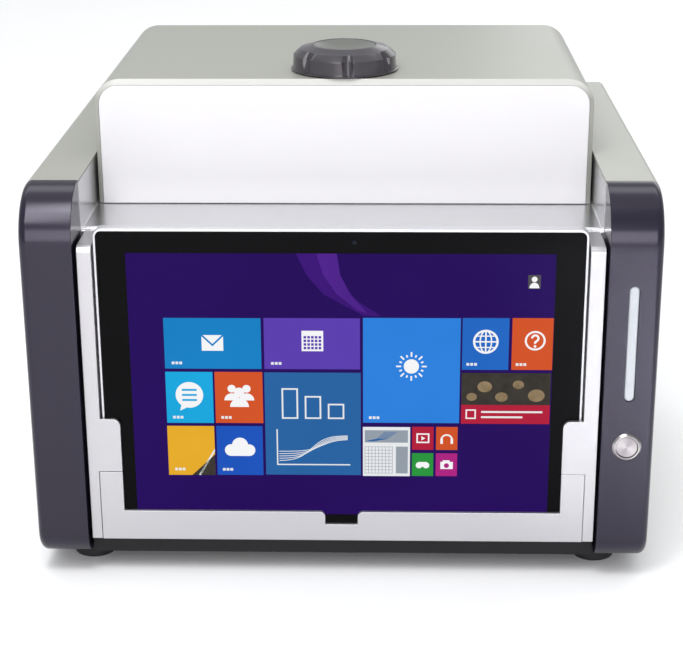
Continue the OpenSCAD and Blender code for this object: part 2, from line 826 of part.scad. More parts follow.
module lid_bumpers() {
    color([0.06, 0.06, 0.06])
    for (sx = [-1, 1], y = [lid_front_y + 14, lid_back_y - 20])
        translate([sx * 140, y, deck_z + 0.05]) cylinder(h = liner_z - deck_z - 0.05, r1 = 4, r2 = 5);
}

module spindle_bush() {
    color([0.72, 0.5, 0.25])
    difference() {
        union() {
            rod_z(0, knob_y, lid_top_z - 10, lid_top_z + 0.3, 8);
            rod_z(0, knob_y, lid_top_z - lid_t - 2.5, lid_top_z - lid_t, 12);
        }
        rod_z(0, knob_y, lid_top_z - 11, lid_top_z + 2, spindle_r + 0.05);
    }
}

// bridge over the liner that carries the lock parts
module latch_plate() {
    half_w = 86;
    half_d = 24;
    color([0.6, 0.61, 0.63])
    difference() {
        union() {
            block([-half_w, knob_y - half_d, latch_z], [half_w, knob_y + half_d, latch_z + latch_t]);
            both_sides() {
                block([half_w - 2, knob_y - half_d, liner_top_z], [half_w, knob_y + half_d, latch_z + 1]);
                block([half_w - 12, knob_y - half_d, liner_top_z], [half_w, knob_y + half_d, liner_top_z + 2]);
            }
        }
        rod_z(0, knob_y, latch_z - 1, latch_z + latch_t + 1, spindle_r + 0.05);
    }
}

module bolt_guides() {
    color([0.5, 0.5, 0.53])
    for (x = [-76, -44, 44, 76]) translate([x, knob_y, latch_z + latch_t]) difference() {
        block([-4, -bolt_w / 2 - 3, 0], [4, bolt_w / 2 + 3, bolt_t + 2.6]);
        block([-5, -bolt_w / 2 - 0.25, -1], [5, bolt_w / 2 + 0.25, bolt_t + 0.6]);
    }
}

module lock_bolt() {
    block([cam_pin_x - 4, knob_y - bolt_w / 2, bolt_z], [bolt_tip_x, knob_y + bolt_w / 2, bolt_z + bolt_t]);
    rod_z(cam_pin_x, knob_y, bolt_z + 1, cam_z + cam_t, bolt_pin_r);
}

module right_bolt() {
    color([0.75, 0.75, 0.77]) lock_bolt();
}

module left_bolt() {
    color([0.75, 0.75, 0.77]) mirror([1, 0, 0]) lock_bolt();
}

// spiral slot: its radius grows evenly with angle, so the bolts move evenly with the knob
function spiral(t, dr) = (cam_pin_x + bolt_travel * t / lock_deg + dr) * [cos(t), sin(t)];

module spiral_slot() {
    half = bolt_pin_r + 0.35;
    step = 5;
    polygon(concat([for (t = [0:step:lock_deg]) spiral(t, half)],
                   [for (t = [lock_deg:-step:0]) spiral(t, -half)]));
    for (t = [0, lock_deg]) translate(spiral(t, 0)) circle(half);
}

module scroll_cam() {
    color([0.7, 0.62, 0.4])
    translate([0, knob_y, cam_z]) linear_extrude(cam_t) difference() {
        circle(cam_r);
        circle(spindle_r);
        for (a = [0, 180]) rotate(a) spiral_slot();
    }
}

module bolt_keepers() {
    t = 2;
    top_z = bolt_z + bolt_t + 5;
    color([0.7, 0.7, 0.72])
    both_sides() difference() {
        union() {
            block([keeper_x, knob_y - 10, deck_z], [keeper_x + t, knob_y + 10, top_z]);
            block([keeper_x, knob_y - 10, deck_z], [keeper_x + 4, knob_y + 10, deck_z + 2]);
        }
        block([keeper_x - 1, knob_y - bolt_w / 2 - 0.5, bolt_z - 0.5], [keeper_x + 5, knob_y + bolt_w / 2 + 0.5, bolt_z + bolt_t + 0.5]);
    }
}

// ---- floating heated plate ----

module heated_plate() {
    color([0.75, 0.76, 0.78])
    translate([0, block_y, plate_base_z]) linear_extrude(plate_t) round_rect(block_w, block_d, 2);
}

post_head_z = insulator_z + 4.4;
post_head_t = 3;

module plate_insulator() {
    color([0.35, 0.22, 0.14])
    difference() {
        translate([0, block_y, insulator_z]) linear_extrude(insulator_t) round_rect(block_w - 4, block_d - 4, 3);
        for (p = post_pos) {
            rod_z(p[0], p[1], insulator_z - 1, post_head_z + post_head_t, 5.2);
            rod_z(p[0], p[1], insulator_z, insulator_top_z + 1, 2.55);
        }
    }
}

module plate_posts() {
    color("silver")
    for (p = post_pos) {
        rod_z(p[0], p[1], post_head_z, post_head_z + post_head_t - 0.05, 4.8);
        rod_z(p[0], p[1], post_head_z + 1, bridge_z + 5, 2.5);
    }
}

// wire wound in even turns, with the ends one wire radius inside the height
module coil_spring(r, wire_r, height, turns) {
    sides = 8;
    steps = 16 * turns;
    pitch = (height - 2 * wire_r) / turns;
    rings = [for (i = [0:steps], j = [0:sides - 1])
        let (a = i * 360 * turns / steps, b = j * 360 / sides, ring_r = r + wire_r * cos(b))
        [ring_r * cos(a), ring_r * sin(a), wire_r * (1 + sin(b)) + pitch * a / 360]];
    faces = concat(
        [[for (j = [0:sides - 1]) j]],
        [for (i = [0:steps - 1], j = [0:sides - 1])
            let (k = (j + 1) % sides) [i * sides + j, (i + 1) * sides + j, (i + 1) * sides + k, i * sides + k]],
        [[for (j = [sides - 1:-1:0]) steps * sides + j]]);
    polyhedron(rings, faces);
}

module plate_springs() {
    color([0.8, 0.8, 0.82])
    for (p = post_pos) translate([p[0], p[1], insulator_top_z])
        coil_spring(4.2, 0.6, bridge_z - insulator_top_z, 4);
}

module plate_bridge() {
    half_w = 74;
    half_d = 33;
    color([0.6, 0.61, 0.63])
    difference() {
        union() {
            block([-half_w, block_y - half_d, bridge_z], [half_w, block_y + half_d, bridge_z + 2.5]);
            both_sides() {
                block([half_w - 2, block_y - half_d, liner_top_z], [half_w, block_y + half_d, bridge_z + 1]);
                block([half_w - 2, block_y - half_d, liner_top_z], [half_w + 12, block_y + half_d, liner_top_z + 2]);
            }
        }
        for (p = post_pos) rod_z(p[0], p[1], bridge_z - 1, bridge_z + 4, 2.5);
    }
}

// ---- knob ----

module knob_body() {
    flange_r = knob_d / 2;
    body_r = flange_r - 1.2;
    dish_r = 19.6;
    color([0.2, 0.19, 0.21])
    translate([0, knob_y, knob_z]) difference() {
        rotate_extrude() polygon([
            [0, 0], [flange_r, 0], [flange_r, 0.6], [body_r, 0.9], [body_r - 0.4, 9.4], [body_r - 1.2, 11.2],
            [body_r - 2.5, 12.3], [body_r - 4.2, 13], [dish_r + 1, knob_h], [dish_r, knob_h],
            [dish_r, knob_h - 3.6], [0, knob_h - 3.6]]);
        for (k = [0:knob_grooves - 1]) rotate(-85 + k * 360 / knob_grooves)
            translate([body_r + 2.1, 0, 0.9]) rotate([0, -16, 0]) cylinder(h = 20, r = 3.4);
        translate([0, 0, -1]) cylinder(h = 10, r = spindle_r);
    }
}

module knob_disc() {
    disc_r = 19.4;
    color([0.42, 0.43, 0.4])
    translate([0, knob_y, knob_z + knob_h - 3.6])
        rotate_extrude() polygon(concat(
            [[0, 0], [disc_r, 0], [disc_r, 3.4]],
            [for (k = [1:9]) let (r = disc_r * (1 - k / 9)) [r, 1.1 + 2.3 * pow(r / disc_r, 2)]]));
}

module knob_spindle() {
    color("silver") {
        rod_z(0, knob_y, latch_z - 2, knob_z + 9, spindle_r);
        rod_z(0, knob_y, lid_top_z - 13, lid_top_z - 10.2, 8.5);
    }
}

// ---- tablet ----

module tablet_outline(inset) {
    translate([0, tablet_base_z + tablet_h / 2]) round_rect(tablet_w - 2 * inset, tablet_h - 2 * inset, 5 - inset);
}

module tablet_case() {
    glass_t = 1;
    color([0.75, 0.76, 0.78])
    difference() {
        along_y(glass_y + 0.1, tablet_back_y) tablet_outline(0);
        along_y(glass_y - 1, glass_y + glass_t + 0.1) tablet_outline(1.4);
    }
}

module tablet_glass() {
    color([0.03, 0.03, 0.04])
    along_y(glass_y, glass_y + 1) tablet_outline(1.6);
}

rubber_feet();
foot_screws();
base_tray();
left_shell();
right_shell();
rear_panel();
rear_screws();
left_pillar();
right_pillar();
front_bulkhead();
recess_pan();
cradle_frame();
cradle_bar();
cradle_screws();
sample_surround();
sample_block();
peltier_modules();
heatsink();
heatsink_brackets();
fan_frames();
fan_guards();
power_inlet();
inlet_pins();
switch_housing();
data_ports();
power_supply();
control_board();
board_standoffs();
light_bar_lens();
light_bar_board();
button_bezel();
button_nut();
hinge_bases();
hinge_pins();
bolt_keepers();
left_fan_rotor();
right_fan_rotor();
power_rocker();
button_cap();
lid_cover();
lid_front_panel();
lid_liner();
hinge_arms();
spindle_bush();
latch_plate();
bolt_guides();
lid_bumpers();
plate_bridge();
plate_posts();
heated_plate();
plate_insulator();
plate_springs();
knob_body();
knob_disc();
knob_spindle();
scroll_cam();
left_bolt();
right_bolt();
tablet_case();
tablet_glass();
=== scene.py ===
from math import atan2, cos, exp, log, pi, radians, sin, sqrt, tan

import bmesh
import bpy
from mathutils import Matrix, Vector


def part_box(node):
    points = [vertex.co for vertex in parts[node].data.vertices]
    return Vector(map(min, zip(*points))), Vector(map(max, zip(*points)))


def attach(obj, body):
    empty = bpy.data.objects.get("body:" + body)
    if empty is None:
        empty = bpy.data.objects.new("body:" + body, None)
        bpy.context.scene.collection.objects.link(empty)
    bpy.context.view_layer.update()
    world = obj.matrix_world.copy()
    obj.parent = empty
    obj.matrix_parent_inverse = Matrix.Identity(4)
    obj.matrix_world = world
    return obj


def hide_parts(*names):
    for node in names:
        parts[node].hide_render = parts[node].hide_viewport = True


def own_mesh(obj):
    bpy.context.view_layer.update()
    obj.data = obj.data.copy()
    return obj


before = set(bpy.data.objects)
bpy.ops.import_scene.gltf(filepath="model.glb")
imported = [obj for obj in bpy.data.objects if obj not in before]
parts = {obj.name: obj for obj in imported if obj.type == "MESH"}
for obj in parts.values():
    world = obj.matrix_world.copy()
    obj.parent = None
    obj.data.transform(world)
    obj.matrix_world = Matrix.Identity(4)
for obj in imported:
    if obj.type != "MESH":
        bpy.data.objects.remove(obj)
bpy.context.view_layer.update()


# ---- camera, table and studio light ----
# The camera stands in front of the machine and a little above it. The machine is on a plain pale table top,
# lit by soft boxes overhead, in front, at both sides and behind, in a white room.

camera_data = bpy.data.cameras.new("camera")
camera_data.sensor_width = 36
camera_data.lens = 91.2
camera = bpy.data.objects.new("camera", camera_data)
camera.matrix_world = (
    Matrix.Translation((0.0291, -1.1253, 0.5110))
    @ Matrix.Rotation(radians(1.68), 4, "Z")
    @ Matrix.Rotation(radians(90 - 19.76), 4, "X")
    @ Matrix.Rotation(radians(-0.32), 4, "Z")
)
bpy.context.scene.collection.objects.link(camera)
bpy.context.scene.camera = camera
bpy.context.scene.view_settings.view_transform = "Standard"


def soft_box(name, at, towards, width, height, watts, tint=(1, 1, 1)):
    lamp = bpy.data.lights.new(name, "AREA")
    lamp.shape = "RECTANGLE"
    lamp.size = width
    lamp.size_y = height
    lamp.energy = watts
    lamp.color = tint
    holder = bpy.data.objects.new(name, lamp)
    holder.location = at
    aim = Vector(towards) - Vector(at)
    holder.rotation_euler = aim.to_track_quat("-Z", "Y").to_euler()
    bpy.context.scene.collection.objects.link(holder)
    return lamp


soft_box("ceiling box", (0.9, 0.6, 4.0), (0.9, 0.6, 0), 6.0, 4.0, 38, (1, 0.995, 0.98))
soft_box("front ceiling box", (-0.15, -1.0, 2.2), (-0.1, -0.9, 0), 0.6, 0.6, 12)
soft_box("low front box", (-0.05, -3.2, 0.80), (-0.05, 0, 0.3), 2.0, 1.3, 35, (1, 0.955, 0.985))
soft_box("left strip box", (-0.44, -0.84, 1.41), (-0.173, -0.14, 0.24), 0.3, 1.15, 8.5)
soft_box("upper front box", (-0.12, -2.4, 1.62), (-0.1, -0.07, 0.29), 0.8, 0.45, 6)
soft_box("back box", (1.3, 3.0, 1.25), (0, 0, 0.2), 2.2, 1.0, 8)
soft_box("floor box", (-0.5, 1.9, 3.2), (-0.5, 1.9, 0), 5.0, 1.6, 36)
table_lamp = soft_box("table box", (0.33, -0.6, 0.95), (0.33, -0.599, 0), 0.25, 0.6, 1.8, (0.92, 0.92, 1))
table_lamp.spread = radians(20)

room = bpy.data.worlds.new("white room")
room.use_nodes = True
room.node_tree.nodes["Background"].inputs["Color"].default_value = (0.95, 0.97, 1, 1)
room.node_tree.nodes["Background"].inputs["Strength"].default_value = 0.6
bpy.context.scene.world = room


class Socket:
    """An output in a material's nodes. Arithmetic on it adds Math nodes."""

    def __init__(self, tree, out=None):
        self.tree = tree
        self.out = out

    def node(self, kind, settings=None, inputs=None, output=0):
        made = self.tree.nodes.new("ShaderNode" + kind)
        for key, value in (settings or {}).items():
            setattr(made, key, value)
        for key, value in (inputs or {}).items():
            if isinstance(value, Socket):
                self.tree.links.new(value.out, made.inputs[key])
            else:
                made.inputs[key].default_value = value
        return Socket(self.tree, made.outputs[output] if made.outputs else None)

    def sum(self, operation, left, right=0.0):
        return self.node("Math", {"operation": operation}, {0: left, 1: right})

    def __add__(self, other):
        return self.sum("ADD", self, other)

    __radd__ = __add__

    def __mul__(self, other):
        return self.sum("MULTIPLY", self, other)

    __rmul__ = __mul__

    def __sub__(self, other):
        return self.sum("SUBTRACT", self, other)

    def __rsub__(self, other):
        return self.sum("SUBTRACT", other, self)

    def place(self):
        return self.node("TexCoord", output="Object")

    def noise(self, scale, detail, stretch=None):
        where = self.place()
        if stretch:
            where = self.node("Mapping", {}, {"Vector": where, "Scale": stretch})
        return self.node("TexNoise", {}, {"Vector": where, "Scale": scale, "Detail": detail})

    def blend(self, low, high, by):
        return self.node("Mix", {"data_type": "RGBA"}, {0: by, 6: low, 7: high}, 2)

    def bump(self, height, strength, depth):
        return self.node("Bump", {}, {"Height": height, "Strength": strength, "Distance": depth})


def srgb(red, green, blue):
    """Linear colour from its 0 to 255 screen values."""
    shares = [c / 255 for c in (red, green, blue)]
    return tuple(c / 12.92 if c < 0.0405 else ((c + 0.055) / 1.055) ** 2.4 for c in shares) + (1,)


def shade(colour, factor):
    return tuple(min(c * factor, 1) for c in colour[:3]) + (1,)


def finish(name, recipe):
    """A material whose surface inputs come from recipe(socket)."""
    material = bpy.data.materials.new(name)
    material.use_nodes = True
    tree = material.node_tree
    tree.nodes.clear()
    start = Socket(tree)
    surface = start.node("BsdfPrincipled", {}, recipe(start))
    start.node("OutputMaterial", {}, {"Surface": surface})
    return material


def table_top(s):
    cloud = s.noise(3.0, 3.0)
    return {
        "Base Color": s.blend((0.93, 0.933, 0.936, 1), (0.95, 0.953, 0.956, 1), cloud),
        "Roughness": cloud * 0.1 + 0.45,
        "Specular IOR Level": 0.25,
    }


table_mesh = bpy.data.meshes.new("table")
table_mesh.from_pydata([(-30, -30, 0), (30, -30, 0), (30, 30, 0), (-30, 30, 0)], [], [(0, 1, 2, 3)])
table_mesh.materials.append(finish("table top", table_top))
table = bpy.data.objects.new("table", table_mesh)
bpy.context.scene.collection.objects.link(table)


# ---- feet and base tray ----
# Four turned rubber feet are screwed up into a folded steel tray with cooling slots, powder coated black.
# The front bulkhead is zinc plated sheet that stands in the tray and carries the tablet cradle.


def coat(name, colour, rough, peel, grain=1800, spread=0.06, specular=0.5):
    """Sprayed or moulded surface: an even colour with fine orange peel and a slight cloud in its gloss."""

    def recipe(s):
        fleck = s.noise(grain, 3.0)
        cloud = s.noise(14, 3.0)
        mottle = fleck * 0.5 + cloud * 0.5
        return {
            "Base Color": s.blend(shade(colour, 1 - spread), shade(colour, 1 + spread), mottle),
            "Roughness": fleck * 0.12 + cloud * 0.1 + (rough - 0.11),
            "Normal": s.bump(fleck, peel, 0.0002),
            "Specular IOR Level": specular,
        }

    return finish(name, recipe)


def drawn(name, colour, rough, stretch, depth=0.00006):
    """Rolled, brushed or extruded metal: fine lines along one direction."""

    def recipe(s):
        line = s.noise(1.0, 4.0, stretch=stretch)
        cloud = s.noise(25, 3.0)
        mottle = line * 0.7 + cloud * 0.3
        return {
            "Base Color": s.blend(shade(colour, 0.88), shade(colour, 1.048), mottle),
            "Metallic": 1.0,
            "Roughness": line * 0.18 + cloud * 0.12 + (rough - 0.15),
            "Normal": s.bump(line, 0.25, depth),
        }

    return finish(name, recipe)


def dress(material, *names):
    """Gives CAD nodes their material."""
    for name in names:
        slots = parts[name].data.materials
        slots.clear()
        slots.append(material)


screw_steel = drawn("screw steel", srgb(190, 190, 188), 0.35, (300, 300, 300))
dress(coat("foot rubber", srgb(40, 40, 42), 0.7, 0.4, 900, 0.2, 0.3), "rubber_feet", "lid_bumpers")
dress(screw_steel, "foot_screws", "rear_screws", "plate_posts", "knob_spindle", "hinge_pins")
dress(coat("tray powder coat", srgb(17, 17, 19), 0.6, 0.5, 1300, 0.15, 0.3), "base_tray")
dress(drawn("zinc plate", srgb(176, 178, 182), 0.42, (40, 40, 700)), "front_bulkhead", "heatsink_brackets")


# ---- side shells ----
# Each shoulder is one folded steel sheet, 1.5 mm thick, with a rounded long edge on top, stoved in light
# grey. Its front end is chamfered, so that a fine groove shows where it meets the pillar.


def rounded(corners, inset=0.0, steps=8, closed=True):
    """Points along an outline whose inside is on its left.

    Corners are (x, y, radius), and all sides move in by inset.
    """
    points = []
    count = len(corners)
    for i, (x, y, radius) in enumerate(corners):
        before, after = corners[i - 1], corners[(i + 1) % count]
        inward = Vector((x - before[0], y - before[1])).normalized()
        onward = Vector((after[0] - x, after[1] - y)).normalized()
        if not closed and i == 0:
            inward = onward
        if not closed and i == count - 1:
            onward = inward
        side_a = Vector((-inward.y, inward.x))
        side_b = Vector((-onward.y, onward.x))
        mitre = (side_a + side_b) / (1 + side_a.dot(side_b))
        tip = Vector((x, y)) + mitre * inset
        bend = inward.x * onward.y - inward.y * onward.x
        if radius == 0:
            points.append(tuple(tip))
            continue
        turn = 1 if bend > 0 else -1
        actual = max(radius - turn * inset, 0.00002)
        middle = tip + mitre * actual * turn
        start = atan2(-turn * side_a.y, -turn * side_a.x)
        sweep = atan2(bend, inward.dot(onward))
        for k in range(steps + 1):
            angle = start + sweep * k / steps
            points.append((middle.x + actual * cos(angle), middle.y + actual * sin(angle)))
    return points


def mesh_piece(name, points, faces):
    mesh = bpy.data.meshes.new(name)
    mesh.from_pydata(points, [], faces)
    piece = bpy.data.objects.new(name, mesh)
    bpy.context.scene.collection.objects.link(piece)
    return piece


def face_out(piece):
    """Turns every face of a closed piece outwards."""
    skin = bmesh.new()
    skin.from_mesh(piece.data)
    bmesh.ops.remove_doubles(skin, verts=skin.verts, dist=0.000001)
    bmesh.ops.recalc_face_normals(skin, faces=skin.faces)
    skin.to_mesh(piece.data)
    skin.free()


def skin_rings(name, rings, closed=True):
    """A skin over rings of points that all have the same count, with an end on the first and the last."""
    count = len(rings[0])
    points = [p for ring in rings for p in ring]
    faces = []
    for k in range(len(rings) - 1):
        for i in range(count if closed else count - 1):
            j = (i + 1) % count
            faces.append((k * count + i, k * count + j, (k + 1) * count + j, (k + 1) * count + i))
    faces.append(tuple(range(count))[::-1])
    faces.append(tuple((len(rings) - 1) * count + i for i in range(count)))
    piece = mesh_piece(name, points, faces)
    face_out(piece)
    return piece


def eased(low, high, low_r, high_r, steps):
    """(position, inset) pairs from low to high, with rounded edges at either end."""
    turns = [pi / 2 * k / steps for k in range(steps + 1)]
    start, end = [(low, 0)], [(high, 0)]
    if low_r:
        start = [(low + low_r * (1 - sin(a)), low_r * (1 - cos(a))) for a in turns[::-1]]
    if high_r:
        end = [(high - high_r * (1 - sin(a)), high_r * (1 - cos(a))) for a in turns]
    return start + end


def front_on(u, v, depth):
    return (u, depth, v)


def side_on(u, v, depth):
    return (depth, u, v)


def flat_on(u, v, depth):
    return (u, v, depth)


def slab(name, corners, levels, lay, steps=8):
    """A plate with rounded corners and eased edges, lying as lay says."""
    rings = []
    for depth, inset in levels:
        rings.append([lay(u, v, depth) for u, v in rounded(corners, inset, steps)])
    return skin_rings(name, rings)


def settle(piece):
    """Applies the piece's modifiers."""
    bpy.context.view_layer.update()
    final = bpy.data.meshes.new_from_object(piece.evaluated_get(bpy.context.evaluated_depsgraph_get()))
    piece.modifiers.clear()
    piece.data = final
    return piece


def carve(piece, tool, operation="DIFFERENCE"):
    """Cuts tool out of piece, or joins it on, and clears tool away."""
    cut = piece.modifiers.new("cut", "BOOLEAN")
    cut.operation = operation
    cut.solver = "EXACT"
    cut.object = tool
    settle(piece)
    bpy.data.objects.remove(tool)


def soften(piece, width):
    """Breaks the sharp edges."""
    edge = piece.modifiers.new("edge", "BEVEL")
    edge.width = width
    edge.segments = 2
    edge.limit_method = "ANGLE"
    edge.angle_limit = radians(35)
    settle(piece)


def place_piece(piece, body, material, slot, *nodes, sharp=32):
    """Shades the piece, paints it and fits it to its body."""
    for face in piece.data.polygons:
        face.use_smooth = True
    piece.data.set_sharp_from_angle(angle=radians(sharp))
    weigh = piece.modifiers.new("weigh", "WEIGHTED_NORMAL")
    weigh.keep_sharp = True
    settle(piece)
    piece.data.materials.clear()
    piece.data.materials.append(material)
    if nodes:
        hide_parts(*nodes)
    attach(piece, body)


def mm(*corners):
    """Millimetres to metres."""
    return [tuple(v / 1000 for v in corner) for corner in corners]


def box_tool(low, high):
    (x0, y0, z0), (x1, y1, z1) = [[v / 1000 for v in p] for p in (low, high)]
    ring = [(x0, z0, 0), (x1, z0, 0), (x1, z1, 0), (x0, z1, 0)]
    return slab("tool", ring, [(y0, 0), (y1, 0)], front_on)


def circle(centre, radius, sides):
    turns = [2 * pi * k / sides for k in range(sides)]
    return [(centre[0] + radius * cos(a), centre[1] + radius * sin(a)) for a in turns]


def rod_tool(centre, radius, low, high, lay, sides):
    ring = circle(centre, radius, sides)
    return skin_rings("tool", [[lay(u, v, depth) for u, v in ring] for depth in (low, high)])


def case_paint(s):
    """Stoved light grey with a fine orange peel and a soft sheen."""
    peel = s.noise(900, 2.0)
    cloud = s.noise(8, 3.0)
    return {
        "Base Color": s.blend(srgb(146, 147, 139), srgb(154, 155, 146), cloud * 0.6 + peel * 0.4),
        "Roughness": peel * 0.06 + cloud * 0.08 + 0.26,
        "Normal": s.bump(peel, 0.05, 0.0001),
        "Specular IOR Level": 0.5,
    }


shell_paint = finish("case paint", case_paint)
side_x, inner_x = 0.189, 0.157
pillar_back_y, back_y = -0.128, 0.161
shell_section = mm((189, 13, 0), (189, 247, 5), (157, 247, 0),
                   (157, 245.5, 0), (187.5, 245.5, 3.5), (187.5, 13, 0))
front_chamfer = [(pillar_back_y + 0.0001, 0.0009), (pillar_back_y + 0.0013, 0)]
shell_levels = front_chamfer + [(back_y - 0.0004, 0), (back_y, 0.0004)]
for side, name in ((-1, "left_shell"), (1, "right_shell")):
    shell = slab(name + "_skin", shell_section, shell_levels, lambda u, v, depth: (side * u, depth, v), 10)
    place_piece(shell, "case", shell_paint, "shell_paint", name)


# ---- front pillars ----
# The two front corners are moulded shells in satin aubergine grey. The face bends back into the shoulder in
# one large radius and under in a smaller one, and the outer edge is rounded. The right one takes the light
# bar and the push button.


def pillar_plastic(s):
    """Metallic satin lacquer over the moulding: a fine sparkle in a soft gloss."""
    fleck = s.noise(2600, 2.0)
    cloud = s.noise(6, 2.0)
    return {
        "Base Color": s.blend(srgb(20, 17, 29), srgb(28, 24, 40), fleck * 0.6 + cloud * 0.4),
        "Roughness": fleck * 0.06 + cloud * 0.05 + 0.15,
        "Normal": s.bump(fleck, 0.04, 0.0001),
        "Specular IOR Level": 0.46,
        "Specular Tint": (0.9, 0.86, 1.0, 1.0),
    }


aubergine = finish("pillar lacquer", pillar_plastic)
front_y, foot_z, shoulder_z = -0.161, 0.012, 0.247


def pillar_ring(x, inset):
    """The pillar's side outline at x, from the top of its back edge round the front to the foot."""
    outline = [(pillar_back_y, shoulder_z, 0), (front_y, shoulder_z, 0.0328),
               (front_y, foot_z, 0.017), (pillar_back_y, foot_z, 0)]
    points = rounded(outline, inset, 20, closed=False)
    return [(x, min(y, pillar_back_y), z) for y, z in points]


def pillar(name, side):
    levels = [(inner_x + 0.0003, 0.0003), (inner_x + 0.0006, 0)]
    levels += eased(inner_x + 0.001, side_x, 0, 0.005, 8)
    rings = [pillar_ring(side * x, inset) for x, inset in levels]
    piece = skin_rings(name, rings, closed=False)
    wall = piece.modifiers.new("wall", "SOLIDIFY")
    wall.thickness = 0.0025
    wall.offset = -1
    return settle(piece)


place_piece(pillar("left_pillar_skin", -1), "case", aubergine, "pillar_plastic", "left_pillar")
right_pillar = pillar("right_pillar_skin", 1)
button_x, button_z, button_hole_r = 0.1727, 0.0902, 0.0081
before_face, behind_face = -0.163, -0.157
slot = mm((169.55, 119.35, 3.15), (175.85, 119.35, 3.15), (175.85, 192.15, 3.15), (169.55, 192.15, 3.15))
carve(right_pillar, slab("tool", slot, [(before_face, 0), (behind_face, 0)], front_on, 12))
button_hole = rod_tool((button_x, button_z), button_hole_r, before_face, behind_face, front_on, 64)
carve(right_pillar, button_hole)
place_piece(right_pillar, "case", aubergine, "pillar_plastic", "right_pillar")


# ---- light bar and push button ----
# The light bar is a diffusing lens pressed into the right pillar, over a board with eight lamps. The button
# is turned stainless steel: a bezel with a bright chamfer, and a spun cap that slides in it.


def lens(s):
    """Milky clear plastic with a faint haze, softly lit by the lamps behind it."""
    haze = s.noise(300, 2.0)
    return {
        "Base Color": s.blend(srgb(168, 172, 177), srgb(178, 182, 187), haze),
        "Roughness": haze * 0.08 + 0.2,
        "Emission Color": s.blend(srgb(170, 182, 196), srgb(190, 200, 212), haze),
        "Emission Strength": 0.04,
    }


lens_outline = mm((169.65, 119.5, 3.04), (175.75, 119.5, 3.04), (175.75, 192, 3.04), (169.65, 192, 3.04))
lens_piece = slab("light_bar_lens_skin", lens_outline, eased(-0.1606, -0.1577, 0.0011, 0, 5), front_on, 12)
lens_back = mm((167.65, 117.5, 5), (177.75, 117.5, 5), (177.75, 194, 5), (167.65, 194, 5))
carve(lens_piece, slab("tool", lens_back, [(-0.1584, 0), (-0.1565, 0)], front_on, 10), "UNION")
place_piece(lens_piece, "case", finish("light bar lens", lens), "lens_white", "light_bar_lens")
dress(coat("lamp board", srgb(226, 226, 220), 0.4, 0.1), "light_bar_board")


def spun(name, colour, centre, rough):
    """Turned or spun steel: fine rings about an axis along Y, and a painted sheen that swings round it as
    lighter and darker colour.
    """

    def recipe(s):
        offset = s.node("VectorMath", {"operation": "SUBTRACT"}, {0: s.place(), 1: centre})
        flat = s.node("VectorMath", {"operation": "MULTIPLY"}, {0: offset, 1: (1, 0, 1)})
        radius = s.node("VectorMath", {"operation": "LENGTH"}, {0: flat}, "Value")
        ring = s.node("TexNoise", {"noise_dimensions": "1D"}, {"W": radius, "Scale": 9000.0, "Detail": 3.0})
        wide = s.node("TexNoise", {"noise_dimensions": "1D"}, {"W": radius, "Scale": 1500.0, "Detail": 2.0})
        axes = s.node("SeparateXYZ", {}, {0: flat}, "X")
        height = s.node("SeparateXYZ", {}, {0: flat}, "Z")
        angle = s.sum("ARCTAN2", height, axes)
        # Painted sheen: the base colour runs lighter and darker in sectors round the axis, standing in for
        # the spun metal's highlight.
        painted_sheen = s.sum("COSINE", angle * 2.0 + 0.9) * 0.5 + 0.5
        return {
            "Base Color": s.blend(shade(colour, 0.55), shade(colour, 1.12), painted_sheen * 0.75 + ring * 0.25),
            "Metallic": 1.0,
            "Roughness": ring * 0.15 + wide * 0.1 + (rough - 0.12),
            "Normal": s.bump(ring * 0.6 + wide * 0.4, 0.35, 0.00004),
        }

    return finish(name, recipe)


button_centre = (button_x, 0, button_z)
dress(spun("turned stainless", srgb(170, 166, 166), button_centre, 0.25), "button_bezel")
dress(spun("spun cap", srgb(168, 163, 164), button_centre, 0.32), "button_cap")
dress(screw_steel, "button_nut")


# ---- recess pan ----
# One folded sheet in silver lacquer makes the shelf in front of the lid, the deck and the two recess walls.
# The folds have small bend radii, and the shelf's front edge turns down in a short hem.


def silver_lacquer(s):
    """Silver lacquer: fine metal flakes under a satin coat."""
    flake = s.noise(3200, 2.0)
    cloud = s.noise(10, 3.0)
    return {
        "Base Color": s.blend(srgb(205, 206, 208), srgb(217, 217, 219), flake * 0.6 + cloud * 0.4),
        "Metallic": 0.9,
        "Roughness": flake * 0.05 + cloud * 0.05 + 0.2,
        "Normal": s.bump(flake, 0.05, 0.0001),
    }


pan_silver = finish("pan silver", silver_lacquer)
hem_back_y, rear_y = -0.1177, 0.1595
trough = mm((157, 245.4, 0), (157, 215.6, 1.5), (-157, 215.6, 1.5), (-157, 245.4, 0),
            (-158.5, 245.4, 0), (-158.5, 214.1, 3), (158.5, 214.1, 3), (158.5, 245.4, 0))
pan = slab("recess_pan_skin", trough, [(hem_back_y, 0), (rear_y, 0)], front_on, 6)
hem = mm((-117.7, 214.1, 0), (-119.2, 214.1, 1.5), (-119.2, 206.6, 0),
         (-120.7, 206.6, 0), (-120.7, 215.6, 3), (-117.7, 215.6, 0))
carve(pan, slab("tool", hem, [(-inner_x, 0), (inner_x, 0)], side_on, 8), "UNION")
for side in (-1, 1):
    low, high = sorted((side * 157, side * 158.5))
    carve(pan, box_tool((low, -127.8, 211.6), (high, -117.6, 245.4)), "UNION")
opening = mm((-80, -9, 6), (80, -9, 6), (80, 99, 6), (-80, 99, 6))
carve(pan, slab("tool", opening, [(0.21, 0), (0.22, 0)], flat_on))
place_piece(pan, "case", pan_silver, "pan_silver", "recess_pan")


# ---- tablet cradle ----
# A frame of folded aluminium in light silver holds the tablet by its sides. Its lower bar is a separate plate
# with a thumb notch, so that fine seams show at its ends. Four black screws fix the cradle to the bulkhead.


